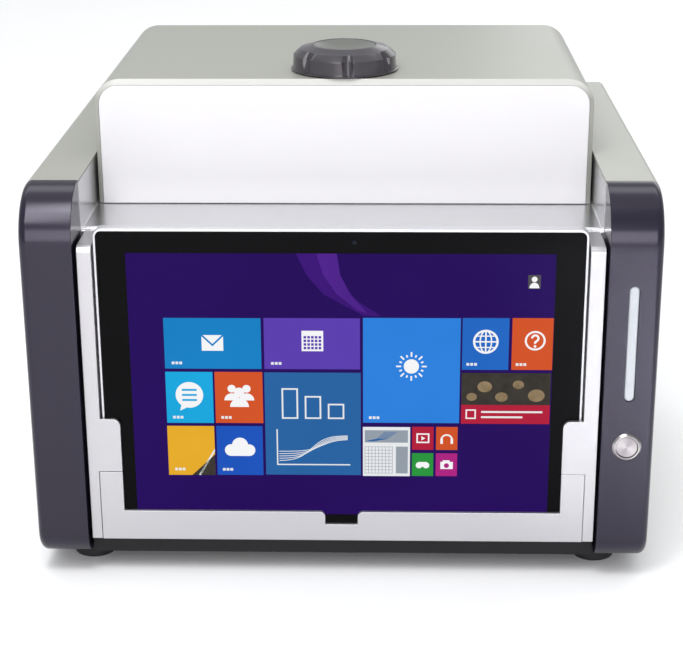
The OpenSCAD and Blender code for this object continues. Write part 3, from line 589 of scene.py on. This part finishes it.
def cradle_lacquer(s):
    """Pale silver lacquer with a very fine flake."""
    flake = s.noise(3600, 2.0)
    cloud = s.noise(9, 3.0)
    return {
        "Base Color": s.blend(srgb(180, 179, 181), srgb(191, 190, 193), flake * 0.5 + cloud * 0.5),
        "Metallic": 0.8,
        "Roughness": flake * 0.06 + cloud * 0.05 + 0.24,
        "Normal": s.bump(flake, 0.04, 0.0001),
    }


cradle_silver = finish("cradle silver", cradle_lacquer)
cradle = None
for side in (-1, 1):
    profile = mm((-156, 23.4, 1), (-121.5, 23.4, 0), (-121.5, 214, 0), (-156, 214, 4))
    levels = [(side * x, inset) for x, inset in ((0.1469, 0), (0.1557, 0))]
    upright = slab("cradle_frame_skin", profile, levels, side_on)
    tab = mm((134.7, 69.2, 0), (148.5, 69.2, 0), (148.5, 104.1, 0), (134.7, 104.1, 4.5))
    tool = slab("tool", tab, [(-0.156, 0), (-0.1534, 0)], lambda u, v, depth: (side * u, depth, v))
    carve(upright, tool, "UNION")
    low, high = sorted((side * 146, side * 149.2))
    carve(upright, box_tool((low, -158, 22), (high, -153.4, 69.2)))
    soften(upright, 0.0005)
    if cradle is None:
        cradle = upright
    else:
        carve(cradle, upright, "UNION")
web = box_tool((-147.5, -143.5, 23.4), (147.5, -141.5, 214))
carve(web, box_tool((-147.5, -143.5, 212), (147.5, -121.5, 214)), "UNION")
carve(web, box_tool((-147.5, -143.5, 23.4), (147.5, -121.5, 25.4)), "UNION")
carve(cradle, web, "UNION")
cradle.name = "cradle_frame_skin"
place_piece(cradle, "case", cradle_silver, "cradle_silver", "cradle_frame")

bar_outline = mm((-149, 23.4, 0), (149, 23.4, 0), (149, 69, 0), (134.7, 69, 0), (134.7, 42.9, 0),
                 (10, 42.9, 3.3), (10, 34.4, 0.6), (-10, 34.4, 0.6), (-10, 42.9, 3.3),
                 (-134.7, 42.9, 0), (-134.7, 69, 0), (-149, 69, 0))
bar = slab("cradle_bar_skin", bar_outline, [(-0.156, 0), (-0.1534, 0)], front_on)
soften(bar, 0.0004)
carve(bar, box_tool((-147.5, -153.6, 23.4), (147.5, -143.6, 24.9)), "UNION")
place_piece(bar, "case", cradle_silver, "cradle_silver", "cradle_bar")
dress(drawn("black oxide", srgb(52, 52, 56), 0.4, (400, 400, 400)), "cradle_screws")


# ---- lid ----
# The lid is a deep drawn cover in the case's grey with large rounded long edges. Its front edge is chamfered
# down to the white panel that closes it, and a plastic liner closes it below.


def arch(half, low, high, radius):
    """The lid's front outline in millimetres: square below, rounded above."""
    return mm((-half, low, 0), (half, low, 0), (half, high, radius), (-half, high, radius))


lid_low = 215.9
cover_levels = eased(-0.0651, 0.1305, 0, 0.0025, 5)
cover = slab("lid_cover_skin", arch(155.5, lid_low, 295.2, 16.5), cover_levels, front_on, 16)
carve(cover, slab("tool", arch(153, 200, 292.7, 14), [(-0.1, 0), (0.128, 0)], front_on, 16))
for x in (-105, 105):
    carve(cover, box_tool((x - 9.3, 126, 220.7), (x + 9.3, 132, 233.3)))
knob_y, bush_r = -0.0335, 0.0081
carve(cover, rod_tool((0, knob_y), bush_r, 0.28, 0.3, flat_on, 32))
place_piece(cover, "lid", shell_paint, "lid_paint", "lid_cover")


def panel_white(s):
    """Gloss white lacquer on a flat panel, with a trace of orange peel."""
    peel = s.noise(260, 2.0)
    cloud = s.noise(7, 2.0)
    return {
        "Base Color": s.blend(srgb(209, 208, 210), srgb(216, 215, 217), cloud),
        "Roughness": cloud * 0.06 + peel * 0.04 + 0.2,
        "Normal": s.bump(peel, 0.03, 0.0001),
    }


def chamfer_paint_with_highlight(s):
    """The case's grey, with a painted highlight that makes the chamfer's top run paler than its sides."""
    height = s.node("SeparateXYZ", {}, {0: s.place()}, "Z")
    # Painted highlight: above 283 mm the chamfer's colour turns paler, standing in for the gloss that lights
    # its top run.
    painted_highlight = s.sum("MINIMUM", s.sum("MAXIMUM", (height - 0.283) * 110.0, 0.0), 1.0)
    peel = s.noise(900, 2.0)
    return {
        "Base Color": s.blend(srgb(153, 154, 146), srgb(188, 188, 184), painted_highlight * 0.9 + peel * 0.1),
        "Roughness": peel * 0.06 + 0.28,
        "Normal": s.bump(peel, 0.05, 0.0001),
    }


lid_white = finish("panel white", panel_white)
trim_steps = ((155.5, 295.2, 16.5, -65.1), (155.4, 295.1, 16.4, -65.25),
              (153.3, 292.0, 12.7, -66.8), (153.1, 291.7, 12.5, -66.9))
trim_rings = []
for half, high, radius, depth in trim_steps:
    outline = rounded(arch(half, lid_low, high, radius), 0, 16)
    trim_rings.append([(x, depth / 1000, z) for x, z in outline])
trim = skin_rings("lid_trim", trim_rings)
carve(trim, slab("tool", arch(152.9, 200, 291.5, 12.2), [(-0.1, 0), (-0.06, 0)], front_on, 16))
place_piece(trim, "lid", finish("chamfer paint with painted highlight", chamfer_paint_with_highlight), "lid_paint")
panel_levels = eased(-0.0677, -0.0648, 0.0009, 0, 4)
panel = slab("lid_front_panel_skin", arch(152.7, lid_low, 291.3, 12), panel_levels, front_on, 16)
place_piece(panel, "lid", lid_white, "lid_white", "lid_front_panel")
dress(coat("liner plastic", srgb(62, 62, 66), 0.5, 0.35, 1100, 0.1), "lid_liner")


# ---- knob ----
# A glossy dark moulding with seven finger grooves that run out in points on its bevelled shoulder. A thin
# flange shows under it, and a dished disc in warm grey is pressed into its top.

knob_base = 0.2960
flange_r, body_r, dish_r, knob_h = 0.034, 0.0328, 0.0196, 0.0151
side_low, side_high, side_draft = 0.0010, 0.0093, 0.0004
side_steps, top_steps = 18, 16
outer = [(flange_r - 0.0003, 0), (flange_r, 0.0001), (flange_r, 0.0004), (flange_r - 0.0003, 0.0006)]
outer += [(body_r + 0.0001, 0.0007)]
for k in range(side_steps + 1):
    share = k / side_steps
    outer.append((body_r - side_draft * share, side_low + (side_high - side_low) * share))
shoulder_r, shoulder_h = body_r - 0.0046, 0.0129
brim_r, brim_h = dish_r + 0.0008, knob_h - 0.0001
for k in range(top_steps + 1):
    share = k / top_steps
    outer.append((shoulder_r + (brim_r - shoulder_r) * share, shoulder_h + (brim_h - shoulder_h) * share))
outer += [(dish_r + 0.0004, knob_h), (dish_r + 0.0001, knob_h - 0.0002), (dish_r, knob_h - 0.0006),
          (dish_r, knob_h - 0.0036)]
grooves, first_groove, groove_steps = 7, radians(-85), 56
scoop, groove_bite, groove_lean, edge_soft = 0.0034, 0.0013, radians(16), 0.0004


def groove_radius(height, across):
    """How far out the knob reaches inside a groove, at that height and distance from the groove's middle."""
    if abs(across) >= scoop:
        return 1.0
    middle = body_r + scoop - groove_bite - (height - side_low) * tan(groove_lean)
    return middle - sqrt(scoop ** 2 - across ** 2)


def knob_radius(radius, height, angle):
    """The nearer of the plain outline and the groove, with a soft edge between them."""
    pitch = 2 * pi / grooves
    away = (angle - first_groove + pitch / 2) % pitch - pitch / 2
    cut = groove_radius(height, radius * sin(away))
    if height < side_low - 0.0001 or cut > radius + 0.003 or radius < dish_r + 0.001:
        return radius
    return min(radius, cut) - edge_soft * log(1 + exp(-abs(radius - cut) / edge_soft))


knob_rings = []
for radius, height in outer:
    ring = []
    for k in range(grooves * groove_steps):
        angle = 2 * pi * k / (grooves * groove_steps)
        r = knob_radius(radius, height, angle)
        ring.append((r * cos(angle), knob_y + r * sin(angle), knob_base + height))
    knob_rings.append(ring)


def knob_gloss(s):
    """Glossy moulded plastic with a violet cast and light handling marks."""
    fine = s.noise(1500, 2.0)
    marks = s.noise(90, 4.0)
    return {
        "Base Color": s.blend(srgb(47, 43, 49), srgb(55, 51, 57), marks),
        "Roughness": marks * 0.1 + 0.16,
        "Normal": s.bump(fine, 0.04, 0.0001),
        "Specular IOR Level": 0.6,
    }


knob = skin_rings("knob_body_skin", knob_rings)
place_piece(knob, "knob", finish("knob plastic", knob_gloss), "knob_plastic", "knob_body", sharp=50)

disc_r, disc_rim, dish_depth, dish_steps = dish_r - 0.00005, knob_h - 0.0002, 0.0028, 24
disc_profile = [(disc_r, knob_h - 0.0036), (disc_r, disc_rim - 0.0003), (dish_r - 0.0002, disc_rim - 0.0001)]
for k in range(dish_steps):
    share = 1 - k / dish_steps
    disc_profile.append(((dish_r - 0.0003) * share, disc_rim - 0.0001 - dish_depth * (1 - share ** 2)))
disc_rings = [[(x, y, knob_base + z) for x, y in circle((0, knob_y), r, 128)] for r, z in disc_profile]


def disc_grey(s):
    """Satin warm grey moulding."""
    grain = s.noise(1800, 3.0)
    return {
        "Base Color": s.blend(srgb(88, 89, 84), srgb(97, 98, 92), grain),
        "Roughness": grain * 0.1 + 0.2,
        "Normal": s.bump(grain, 0.08, 0.0001),
        "Specular IOR Level": 0.6,
    }


disc = skin_rings("knob_disc_skin", disc_rings)
place_piece(disc, "knob", finish("disc grey", disc_grey), "knob_disc_grey", "knob_disc", sharp=50)


# ---- tablet ----
# The case is cast magnesium with a bright chamfered rim round a sheet of black glass. The display is a start
# screen of plain coloured tiles with generic signs, made as thin glowing plates on the glass.

tablet_w, tablet_h, tablet_foot = 292, 199, 25
tablet_mid = tablet_foot + tablet_h / 2
glass_front, glass_back = -0.153, -0.152


def tablet_outline(less, radius):
    """The tablet's front outline, made smaller all round by less millimetres."""
    half_w, half_h = tablet_w / 2 - less, tablet_h / 2 - less
    return mm((-half_w, tablet_mid - half_h, radius), (half_w, tablet_mid - half_h, radius),
              (half_w, tablet_mid + half_h, radius), (-half_w, tablet_mid + half_h, radius))


def tablet_metal(s):
    """Vapour-coated magnesium: silver grey with a very fine tooth."""
    tooth = s.noise(3000, 3.0)
    cloud = s.noise(12, 3.0)
    return {
        "Base Color": s.blend(srgb(196, 197, 201), srgb(212, 213, 216), tooth * 0.5 + cloud * 0.5),
        "Metallic": 0.75,
        "Roughness": tooth * 0.1 + cloud * 0.06 + 0.28,
        "Normal": s.bump(tooth, 0.1, 0.0001),
    }


case_levels = eased(-0.1529, -0.1439, 0.0005, 0.0015, 4)
tablet = slab("tablet_case_skin", tablet_outline(0, 5), case_levels, front_on, 12)
carve(tablet, slab("tool", tablet_outline(1.4, 3.6), [(-0.16, 0), (-0.1519, 0)], front_on, 12))
place_piece(tablet, "tablet", finish("tablet metal", tablet_metal), "tablet_silver", "tablet_case")


def black_glass(s):
    """Cover glass over black ink, with faint finger smears in its gloss."""
    smear = s.noise(28, 5.0, stretch=(1, 1, 2.4))
    return {
        "Base Color": s.blend((0.001, 0.001, 0.0012, 1), (0.0025, 0.0025, 0.003, 1), smear),
        "Roughness": smear * 0.05 + 0.02,
        "Specular IOR Level": 0.05,
    }


glass_levels = eased(glass_front, glass_back, 0.0002, 0, 3)
glass = slab("tablet_glass_skin", tablet_outline(1.6, 3.4), glass_levels, front_on, 12)
for slit_x in (-142.6, 142.6):
    slit = mm((slit_x - 0.5, 184.5, 0.49), (slit_x + 0.5, 184.5, 0.49),
              (slit_x + 0.5, 208.3, 0.49), (slit_x - 0.5, 208.3, 0.49))
    carve(glass, slab("tool", slit, [(-0.154, 0), (-0.1524, 0)], front_on))
place_piece(glass, "tablet", finish("black glass", black_glass), "tablet_black", "tablet_glass")

plate_step, plate_t = 0.00003, 0.000025
picture = {"points": [], "faces": [], "paints": []}
screen_paints = []


def glow(name, colour, spread=0.05, clouds=30, strength=0.95):
    """Light from the display: an even colour with a faint drift. The camera window uses it too, as a painted
    glow.
    """

    def recipe(s):
        cloud = s.noise(clouds, 2.0)
        return {
            "Base Color": s.blend((0.001, 0.001, 0.0012, 1), (0.0025, 0.0025, 0.003, 1), cloud),
            "Roughness": cloud * 0.05 + 0.02,
            "Emission Color": s.blend(shade(colour, 1 - spread), shade(colour, 1 + spread), cloud),
            "Emission Strength": strength,
            "Specular IOR Level": 0.03,
        }

    screen_paints.append(finish(name, recipe))
    return len(screen_paints) - 1


def add_plate(rings, level, faces, paint):
    """Adds a closed plate. Its (x, z) points in millimetres come once in front and once behind."""
    first = len(picture["points"])
    front = glass_front - plate_step * level
    picture["points"] += [(x / 1000, y, z / 1000) for y in (front, front + plate_t) for x, z in rings]
    picture["faces"] += [tuple(first + i for i in face) for face in faces]
    picture["paints"] += [paint] * len(faces)


def figure(points, level, paint):
    """A thin plate of colour on the display, level steps in front of the glass."""
    count = len(points)
    turned = sum(x0 * z1 - x1 * z0 for (x0, z0), (x1, z1) in zip(points, points[1:] + points[:1]))
    if turned < 0:
        points = points[::-1]
    faces = [tuple(range(count)), tuple(range(count, 2 * count))[::-1]]
    faces += [(i, i + count, (i + 1) % count + count, (i + 1) % count) for i in range(count)]
    add_plate(points, level, faces, paint)


def tile(x0, x1, z0, z1, paint, level=2):
    figure([(x0, z0), (x1, z0), (x1, z1), (x0, z1)], level, paint)


def disc_figure(x, z, radius, level, paint, end=360, stretch=1.0):
    """A filled disc, or the part of it up to the angle end."""
    turns = [radians(end * k / 32) for k in range(32 if end == 360 else 33)]
    figure([(x + radius * cos(a), z + radius * stretch * sin(a)) for a in turns], level, paint)


def band(path, width, level, paint):
    """A line of even width along a path, which may come back to its start."""
    looped = (Vector(path[0]) - Vector(path[-1])).length < 0.001
    spots = [Vector(p) for p in (path[:-1] if looped else path)]
    count = len(spots)
    edges = []
    for i, spot in enumerate(spots):
        before = spots[i - 1] if i or looped else spot * 2 - spots[1]
        after = spots[(i + 1) % count] if i < count - 1 or looped else spot * 2 - spots[-2]
        inward = (spot - before).normalized()
        onward = (after - spot).normalized()
        side = Vector((-inward.y - onward.y, inward.x + onward.x)) / (1 + inward.dot(onward)) * width / 2
        edges += [tuple(spot - side), tuple(spot + side)]
    faces = []
    behind = 2 * count
    for i in range(count if looped else count - 1):
        a, b = 2 * i, 2 * ((i + 1) % count)
        faces += [(a, b, b + 1, a + 1), (behind + a, behind + a + 1, behind + b + 1, behind + b),
                  (a, behind + a, behind + b, b), (a + 1, b + 1, behind + b + 1, behind + a + 1)]
    if not looped:
        last = behind - 2
        faces += [(0, 1, behind + 1, behind), (last, behind + last, behind + last + 1, last + 1)]
    add_plate(edges, level, faces, paint)


def arc(x, z, radius, start, end, steps=24):
    turns = [radians(start + (end - start) * k / steps) for k in range(steps + 1)]
    return [(x + radius * cos(a), z + radius * sin(a)) for a in turns]


indigo = glow("screen indigo", srgb(35, 0, 92), 0.12, 12)
violet_fold = glow("screen violet fold", srgb(58, 14, 118), 0.2, 20)
violet_light = glow("screen violet light", srgb(78, 30, 140), 0.2, 20)
white = glow("screen white", srgb(250, 250, 252), 0.02)
tile_blue = glow("tile blue", srgb(18, 130, 200))
tile_purple = glow("tile purple", srgb(92, 62, 178))
tile_sky = glow("tile sky", srgb(42, 130, 224))
tile_deep = glow("tile deep blue", srgb(30, 104, 198))
tile_orange = glow("tile orange", srgb(214, 84, 36))
tile_cyan = glow("tile cyan", srgb(20, 170, 226))
tile_steel = glow("tile steel blue", srgb(38, 100, 164))
tile_crimson = glow("tile crimson", srgb(182, 28, 58))
tile_yellow = glow("tile yellow", srgb(236, 176, 40), 0.1)
tile_royal = glow("tile royal blue", srgb(24, 84, 190))
tile_green = glow("tile green", srgb(40, 150, 60))
tile_magenta = glow("tile magenta", srgb(176, 34, 130))
tile_paper = glow("tile paper", srgb(236, 238, 240), 0.03)
tile_line = glow("tile line", srgb(150, 160, 172), 0.05)
tile_dark = glow("tile dark", srgb(58, 54, 48), 0.4, 160)
tile_bark = glow("tile bark", srgb(142, 122, 92), 0.4, 220)

tile(-127, 127, 40, 209.3, indigo, 1)
broad_fold = [(-26, 209.3), (-20, 196), (-10, 184), (4, 176), (14, 170.5),
              (24, 170.5), (10, 180), (0, 192), (-6, 209.3)]
figure(broad_fold, 1.5, violet_fold)
fine_fold = [(-14, 209.3), (-10, 196), (-2, 184), (10, 174), (16, 172), (6, 184), (0, 196), (-2, 209.3)]
figure(fine_fold, 1.8, violet_light)

tile(-106.1, -47.8, 136.4, 168.8, tile_blue)
figure([(-83.5, 148), (-70.5, 148), (-70.5, 158), (-83.5, 158)], 3, white)
band([(-83.5, 158), (-77, 151.6), (-70.5, 158)], 1.1, 4, tile_blue)
tile(-46, 11.6, 136.4, 169, tile_purple)
tile(-23.4, -10.4, 148, 161, white, 3)
for row in range(4):
    for column in range(5):
        x, z = -22.2 + column * 2.25, 149.2 + row * 2.3
        tile(x, x + 1.6, z, z + 1.6, tile_purple, 4)
tile(13.4, 71.7, 101.7, 169.3, tile_sky)
sun_x, sun_z = 42.5, 138.5
disc_figure(sun_x, sun_z, 4.6, 3, white)
for k in range(16):
    a = radians(22.5 * k)
    ray = [(sun_x + r * cos(a), sun_z + r * sin(a)) for r in (6.2, 9.2 if k % 2 == 0 else 7.8)]
    band(ray, 1.0, 3, white)
tile(72.8, 100.6, 136.5, 169.5, tile_deep)
globe_x, globe_z, globe_r = 86.8, 154.5, 7.0
band(arc(globe_x, globe_z, globe_r, 0, 360, 36), 1.3, 3, white)
band([(globe_x - globe_r, globe_z), (globe_x + globe_r, globe_z)], 0.9, 3, white)
band([(globe_x, globe_z - globe_r), (globe_x, globe_z + globe_r)], 0.9, 3, white)
for side in (-1, 1):
    turns = [radians(a) for a in range(-90, 91, 15)]
    band([(globe_x + side * 3.4 * cos(a), globe_z + globe_r * sin(a)) for a in turns], 0.8, 3, white)
    band([(globe_x - 5.8, globe_z + side * 3.6), (globe_x + 5.8, globe_z + side * 3.6)], 0.7, 3, white)
tile(102.4, 126.8, 136.6, 169.6, tile_orange)
band(arc(116.2, 155.3, 5.6, 0, 360, 36), 1.2, 3, white)
band(arc(116.2, 156.8, 1.9, 180, -45) + [(116.2, 154.3), (116.2, 153.4)], 1.3, 3, white)
disc_figure(116.2, 151.7, 0.85, 3, white)
tile(-106.2, -77.6, 100.9, 134.3, tile_cyan)
disc_figure(-92, 119.3, 8.4, 3, white)
figure([(-97, 113), (-98, 109), (-92, 112)], 3, white)
for k in range(3):
    band([(-96.5, 122.6 - 3.3 * k), (-87.5, 122.6 - 3.3 * k)], 1.3, 4, tile_cyan)
tile(-76.4, -47.4, 101, 134.4, tile_orange)
for x, z, size in ((-66.2, 121.5, 1.0), (-57.2, 121.5, 1.0), (-61.7, 118.6, 1.25)):
    disc_figure(x, z + 2.0 * size, 2.5 * size, 3.5, white)
    disc_figure(x, z - 5.6 * size, 4.6 * size, 3, white, 180)
tile(-46.3, 12, 66.7, 134.2, tile_steel)
for k in range(5):
    curve = []
    for j in range(22):
        rise = (17 - 2.2 * k) / (1 + exp(-(j - 10 - 0.8 * k) / 2.2))
        curve.append((-38 + 2.0 * j, 76 + 1.6 * k + rise))
    band(curve, 0.45, 3, tile_paper)
tile(-39.5, -38.7, 74, 97, tile_paper, 3)
tile(-39.5, 5.5, 73.2, 74, tile_paper, 3)
for k in range(3):
    tile(-36 + 14 * k, -26 + 14 * k, 104, 124 - 5 * k, tile_paper, 3)
    tile(-35 + 14 * k, -27 + 14 * k, 105, 123 - 5 * k, tile_steel, 4)
tile(72.8, 126.4, 113.8, 134.5, tile_dark)
for x, z, size in ((86.8, 125.6, 4.4), (107, 127, 3.4), (118, 120, 5.0), (79, 119, 3.2), (97, 119, 3.8)):
    disc_figure(x, z, size, 3, tile_bark, stretch=0.8)
tile(72.8, 126.4, 101.4, 113.8, tile_crimson)
band([(76, 105), (81.4, 105), (81.4, 110.4), (76, 110.4), (76, 105)], 0.8, 3, white)
for k in range(2):
    tile(85, 122 - 12 * k, 108.6 - 3.4 * k, 109.8 - 3.4 * k, tile_paper, 3)
tile(-106.4, -77.6, 66.1, 98.9, tile_yellow)
figure([(-92, 66.1), (-77.6, 66.1), (-77.6, 80)], 3, tile_dark)
figure([(-88, 66.1), (-86.5, 66.1), (-77.6, 82), (-77.6, 84)], 3, tile_paper)
tile(-76.3, -48, 66.3, 99, tile_royal)
for x, z, size in ((-67.5, 83, 3.9), (-62, 86.4, 4.9), (-56.6, 83, 3.9)):
    disc_figure(x, z, size, 3, white)
tile(-67.5, -56.6, 79.1, 83.5, white, 3)
tile(13.3, 42.1, 66.2, 98.9, tile_paper)
for k in range(9):
    tile(14.4 + k * 2.1, 14.7 + k * 2.1, 68, 86, tile_line, 3)
    tile(14.4, 31.3, 68 + k * 2.2, 68.3 + k * 2.2, tile_line, 3)
tile(33.5, 40.8, 68, 86, tile_line, 3)
tile(14.4, 40.8, 88.6, 96.8, tile_line, 3)
for k in range(6):
    band([(15.5 + 0.8 * k, 89.6), (22 + 1.1 * k, 91), (27 + 1.4 * k, 95.8)], 0.35, 4, tile_steel)
small_tiles = ((43.3, 83.9, tile_crimson), (57.9, 83.9, tile_orange),
               (43.3, 66.4, tile_green), (57.9, 66.4, tile_magenta))
for x, z, paint in small_tiles:
    tile(x, x + 13.1, z, z + 15.3, paint)
band([(46.4, 88.9), (53.4, 88.9), (53.4, 94.4), (46.4, 94.4), (46.4, 88.9)], 0.9, 3, white)
figure([(49, 90.2), (51.4, 91.6), (49, 93)], 3, white)
band(arc(64.4, 90.6, 3.3, 0, 180, 16), 1.0, 3, white)
for x in (60.6, 66.8):
    tile(x, x + 1.5, 88, 91.4, white, 3)
disc_figure(47.7, 73.6, 2.0, 3, white)
disc_figure(52, 73.6, 2.0, 3, white)
tile(47.2, 52.5, 72.6, 75.8, white, 3)
tile(60.8, 68.4, 71.2, 76, white, 3)
disc_figure(64.5, 73.5, 1.6, 4, tile_magenta)
tile(62.2, 66.4, 76, 77, white, 3)
tile(110.9, 118.3, 188, 196.5, glow("sign grey", srgb(84, 80, 84)), 2)
disc_figure(114.6, 193.8, 1.7, 3, white)
disc_figure(114.6, 188.3, 2.9, 3, white, 180, 1.2)
# The camera window is no lamp; its bluish glow is painted light.
disc_figure(8.5, 216, 1.3, 1, glow("camera window painted glow", srgb(46, 52, 66), 0.3, 400, 0.5))

label_dots = ((-102, 139.2), (-42, 139.2), (17, 104.2), (75.5, 139.2), (105, 139.2),
              (-102.5, 103.8), (-73, 103.8), (-102.5, 69.2), (-73, 69.2))
for x0, z0 in label_dots:
    for k in range(3):
        tile(x0 + 2.3 * k, x0 + 1.7 + 2.3 * k, z0, z0 + 1.7, tile_paper, 3)

start_screen = mesh_piece("start_screen", picture["points"], picture["faces"])
for paint in screen_paints:
    start_screen.data.materials.append(paint)
start_screen.data.polygons.foreach_set("material_index", picture["paints"])
start_screen.data.update()
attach(start_screen, "tablet")


# ---- sample block, heat pump and heatsink ----
# A machined aluminium block with 96 tapered wells sits on six ceramic Peltier modules, over an extruded
# aluminium heatsink. A black moulded surround frames the block in the deck.

dress(coat("surround moulding", srgb(44, 44, 47), 0.5, 0.35, 1100, 0.1), "sample_surround")
dress(drawn("machined block", srgb(206, 208, 211), 0.3, (700, 700, 60), 0.00003), "sample_block")
dress(coat("white ceramic", srgb(232, 232, 228), 0.4, 0.08), "peltier_modules")
dress(drawn("extruded sink", srgb(188, 190, 194), 0.4, (900, 8, 900)), "heatsink")
dress(drawn("heated plate", srgb(196, 198, 202), 0.32, (8, 900, 900)), "heated_plate")
dress(coat("insulator board", srgb(104, 72, 48), 0.75, 0.5, 700, 0.2, 0.2), "plate_insulator")
bracket_zinc = drawn("bracket zinc", srgb(182, 184, 187), 0.4, (8, 700, 700))
dress(bracket_zinc, "plate_bridge", "latch_plate", "bolt_keepers", "hinge_bases", "hinge_arms", "bolt_guides")


# ---- plate springs ----
# Four springs of drawn steel wire, with closed end turns, press the heated plate down from the bridge. They
# stand over the plate's posts.

spring_steel = drawn("spring steel", srgb(170, 170, 172), 0.28, (500, 500, 500))
wire_r, coil_r, float_travel = 0.0006, 0.0042, 0.003
spring_low, spring_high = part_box("plate_springs")
spring_height = spring_high[2] - spring_low[2]
dead_turns, open_turns, turn_steps, wire_sides = 0.75, 4, 32, 12
dead_rise = dead_turns * 2.1 * wire_r
open_pitch = (spring_height - 2 * wire_r - 2 * dead_rise) / open_turns


def wire_height(turns):
    """The wire's height above the foot of the spring after that many turns."""
    if turns < dead_turns:
        return wire_r + dead_rise * turns / dead_turns
    opened = min(turns - dead_turns, open_turns)
    closed = turns - dead_turns - opened
    return wire_r + dead_rise + open_pitch * opened + dead_rise * closed / dead_turns


edge = coil_r + wire_r
corners = [(x, y) for x in (spring_low[0] + edge, spring_high[0] - edge)
           for y in (spring_low[1] + edge, spring_high[1] - edge)]
for number, (x, y) in enumerate(corners, 1):
    wire_rings = []
    for k in range(int(turn_steps * (2 * dead_turns + open_turns)) + 1):
        turn = 2 * pi * k / turn_steps
        level = spring_low[2] + wire_height(k / turn_steps)
        section = circle((coil_r, level), wire_r, wire_sides)
        wire_rings.append([(x + reach * cos(turn), y + reach * sin(turn), z) for reach, z in section])
    spring = skin_rings(f"plate_spring_{number}", wire_rings)
    place_piece(spring, "lid", spring_steel, "spring_steel", "plate_springs")
    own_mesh(spring)


# ---- lid lock ----
# The knob's spindle runs in a bronze bush and turns a brass scroll cam. The cam's spiral slots push two steel
# bolts out into the keepers.

dress(drawn("bush bronze", srgb(176, 128, 72), 0.35, (300, 300, 300)), "spindle_bush")
dress(drawn("cam brass", srgb(196, 172, 106), 0.32, (500, 500, 40)), "scroll_cam")
dress(drawn("bolt steel", srgb(190, 190, 192), 0.3, (8, 900, 900)), "left_bolt", "right_bolt")


# ---- rear panel and services ----
# The rear panel is folded steel in the case's grey. It carries two fans behind bright wire guards, a mains
# inlet with a rocker switch, and two data ports. The power supply and the control board stand in the tray.

dress(shell_paint, "rear_panel")
fan_plastic = coat("fan moulding", srgb(38, 38, 40), 0.5, 0.3, 1200, 0.12)
dress(fan_plastic, "fan_frames", "left_fan_rotor", "right_fan_rotor")
dress(drawn("guard wire", srgb(204, 204, 206), 0.2, (300, 300, 300)), "fan_guards")
inlet_plastic = coat("inlet moulding", srgb(34, 34, 36), 0.45, 0.3, 1200, 0.12)
dress(inlet_plastic, "power_inlet", "switch_housing", "power_rocker")
dress(drawn("contact plating", srgb(206, 196, 168), 0.25, (300, 300, 300)), "inlet_pins", "data_ports")
dress(drawn("supply case", srgb(178, 180, 184), 0.4, (900, 8, 900)), "power_supply")
dress(coat("solder mask", srgb(34, 92, 60), 0.35, 0.2, 1500, 0.15), "control_board")
dress(drawn("brass post", srgb(190, 160, 92), 0.3, (300, 300, 300)), "board_standoffs")
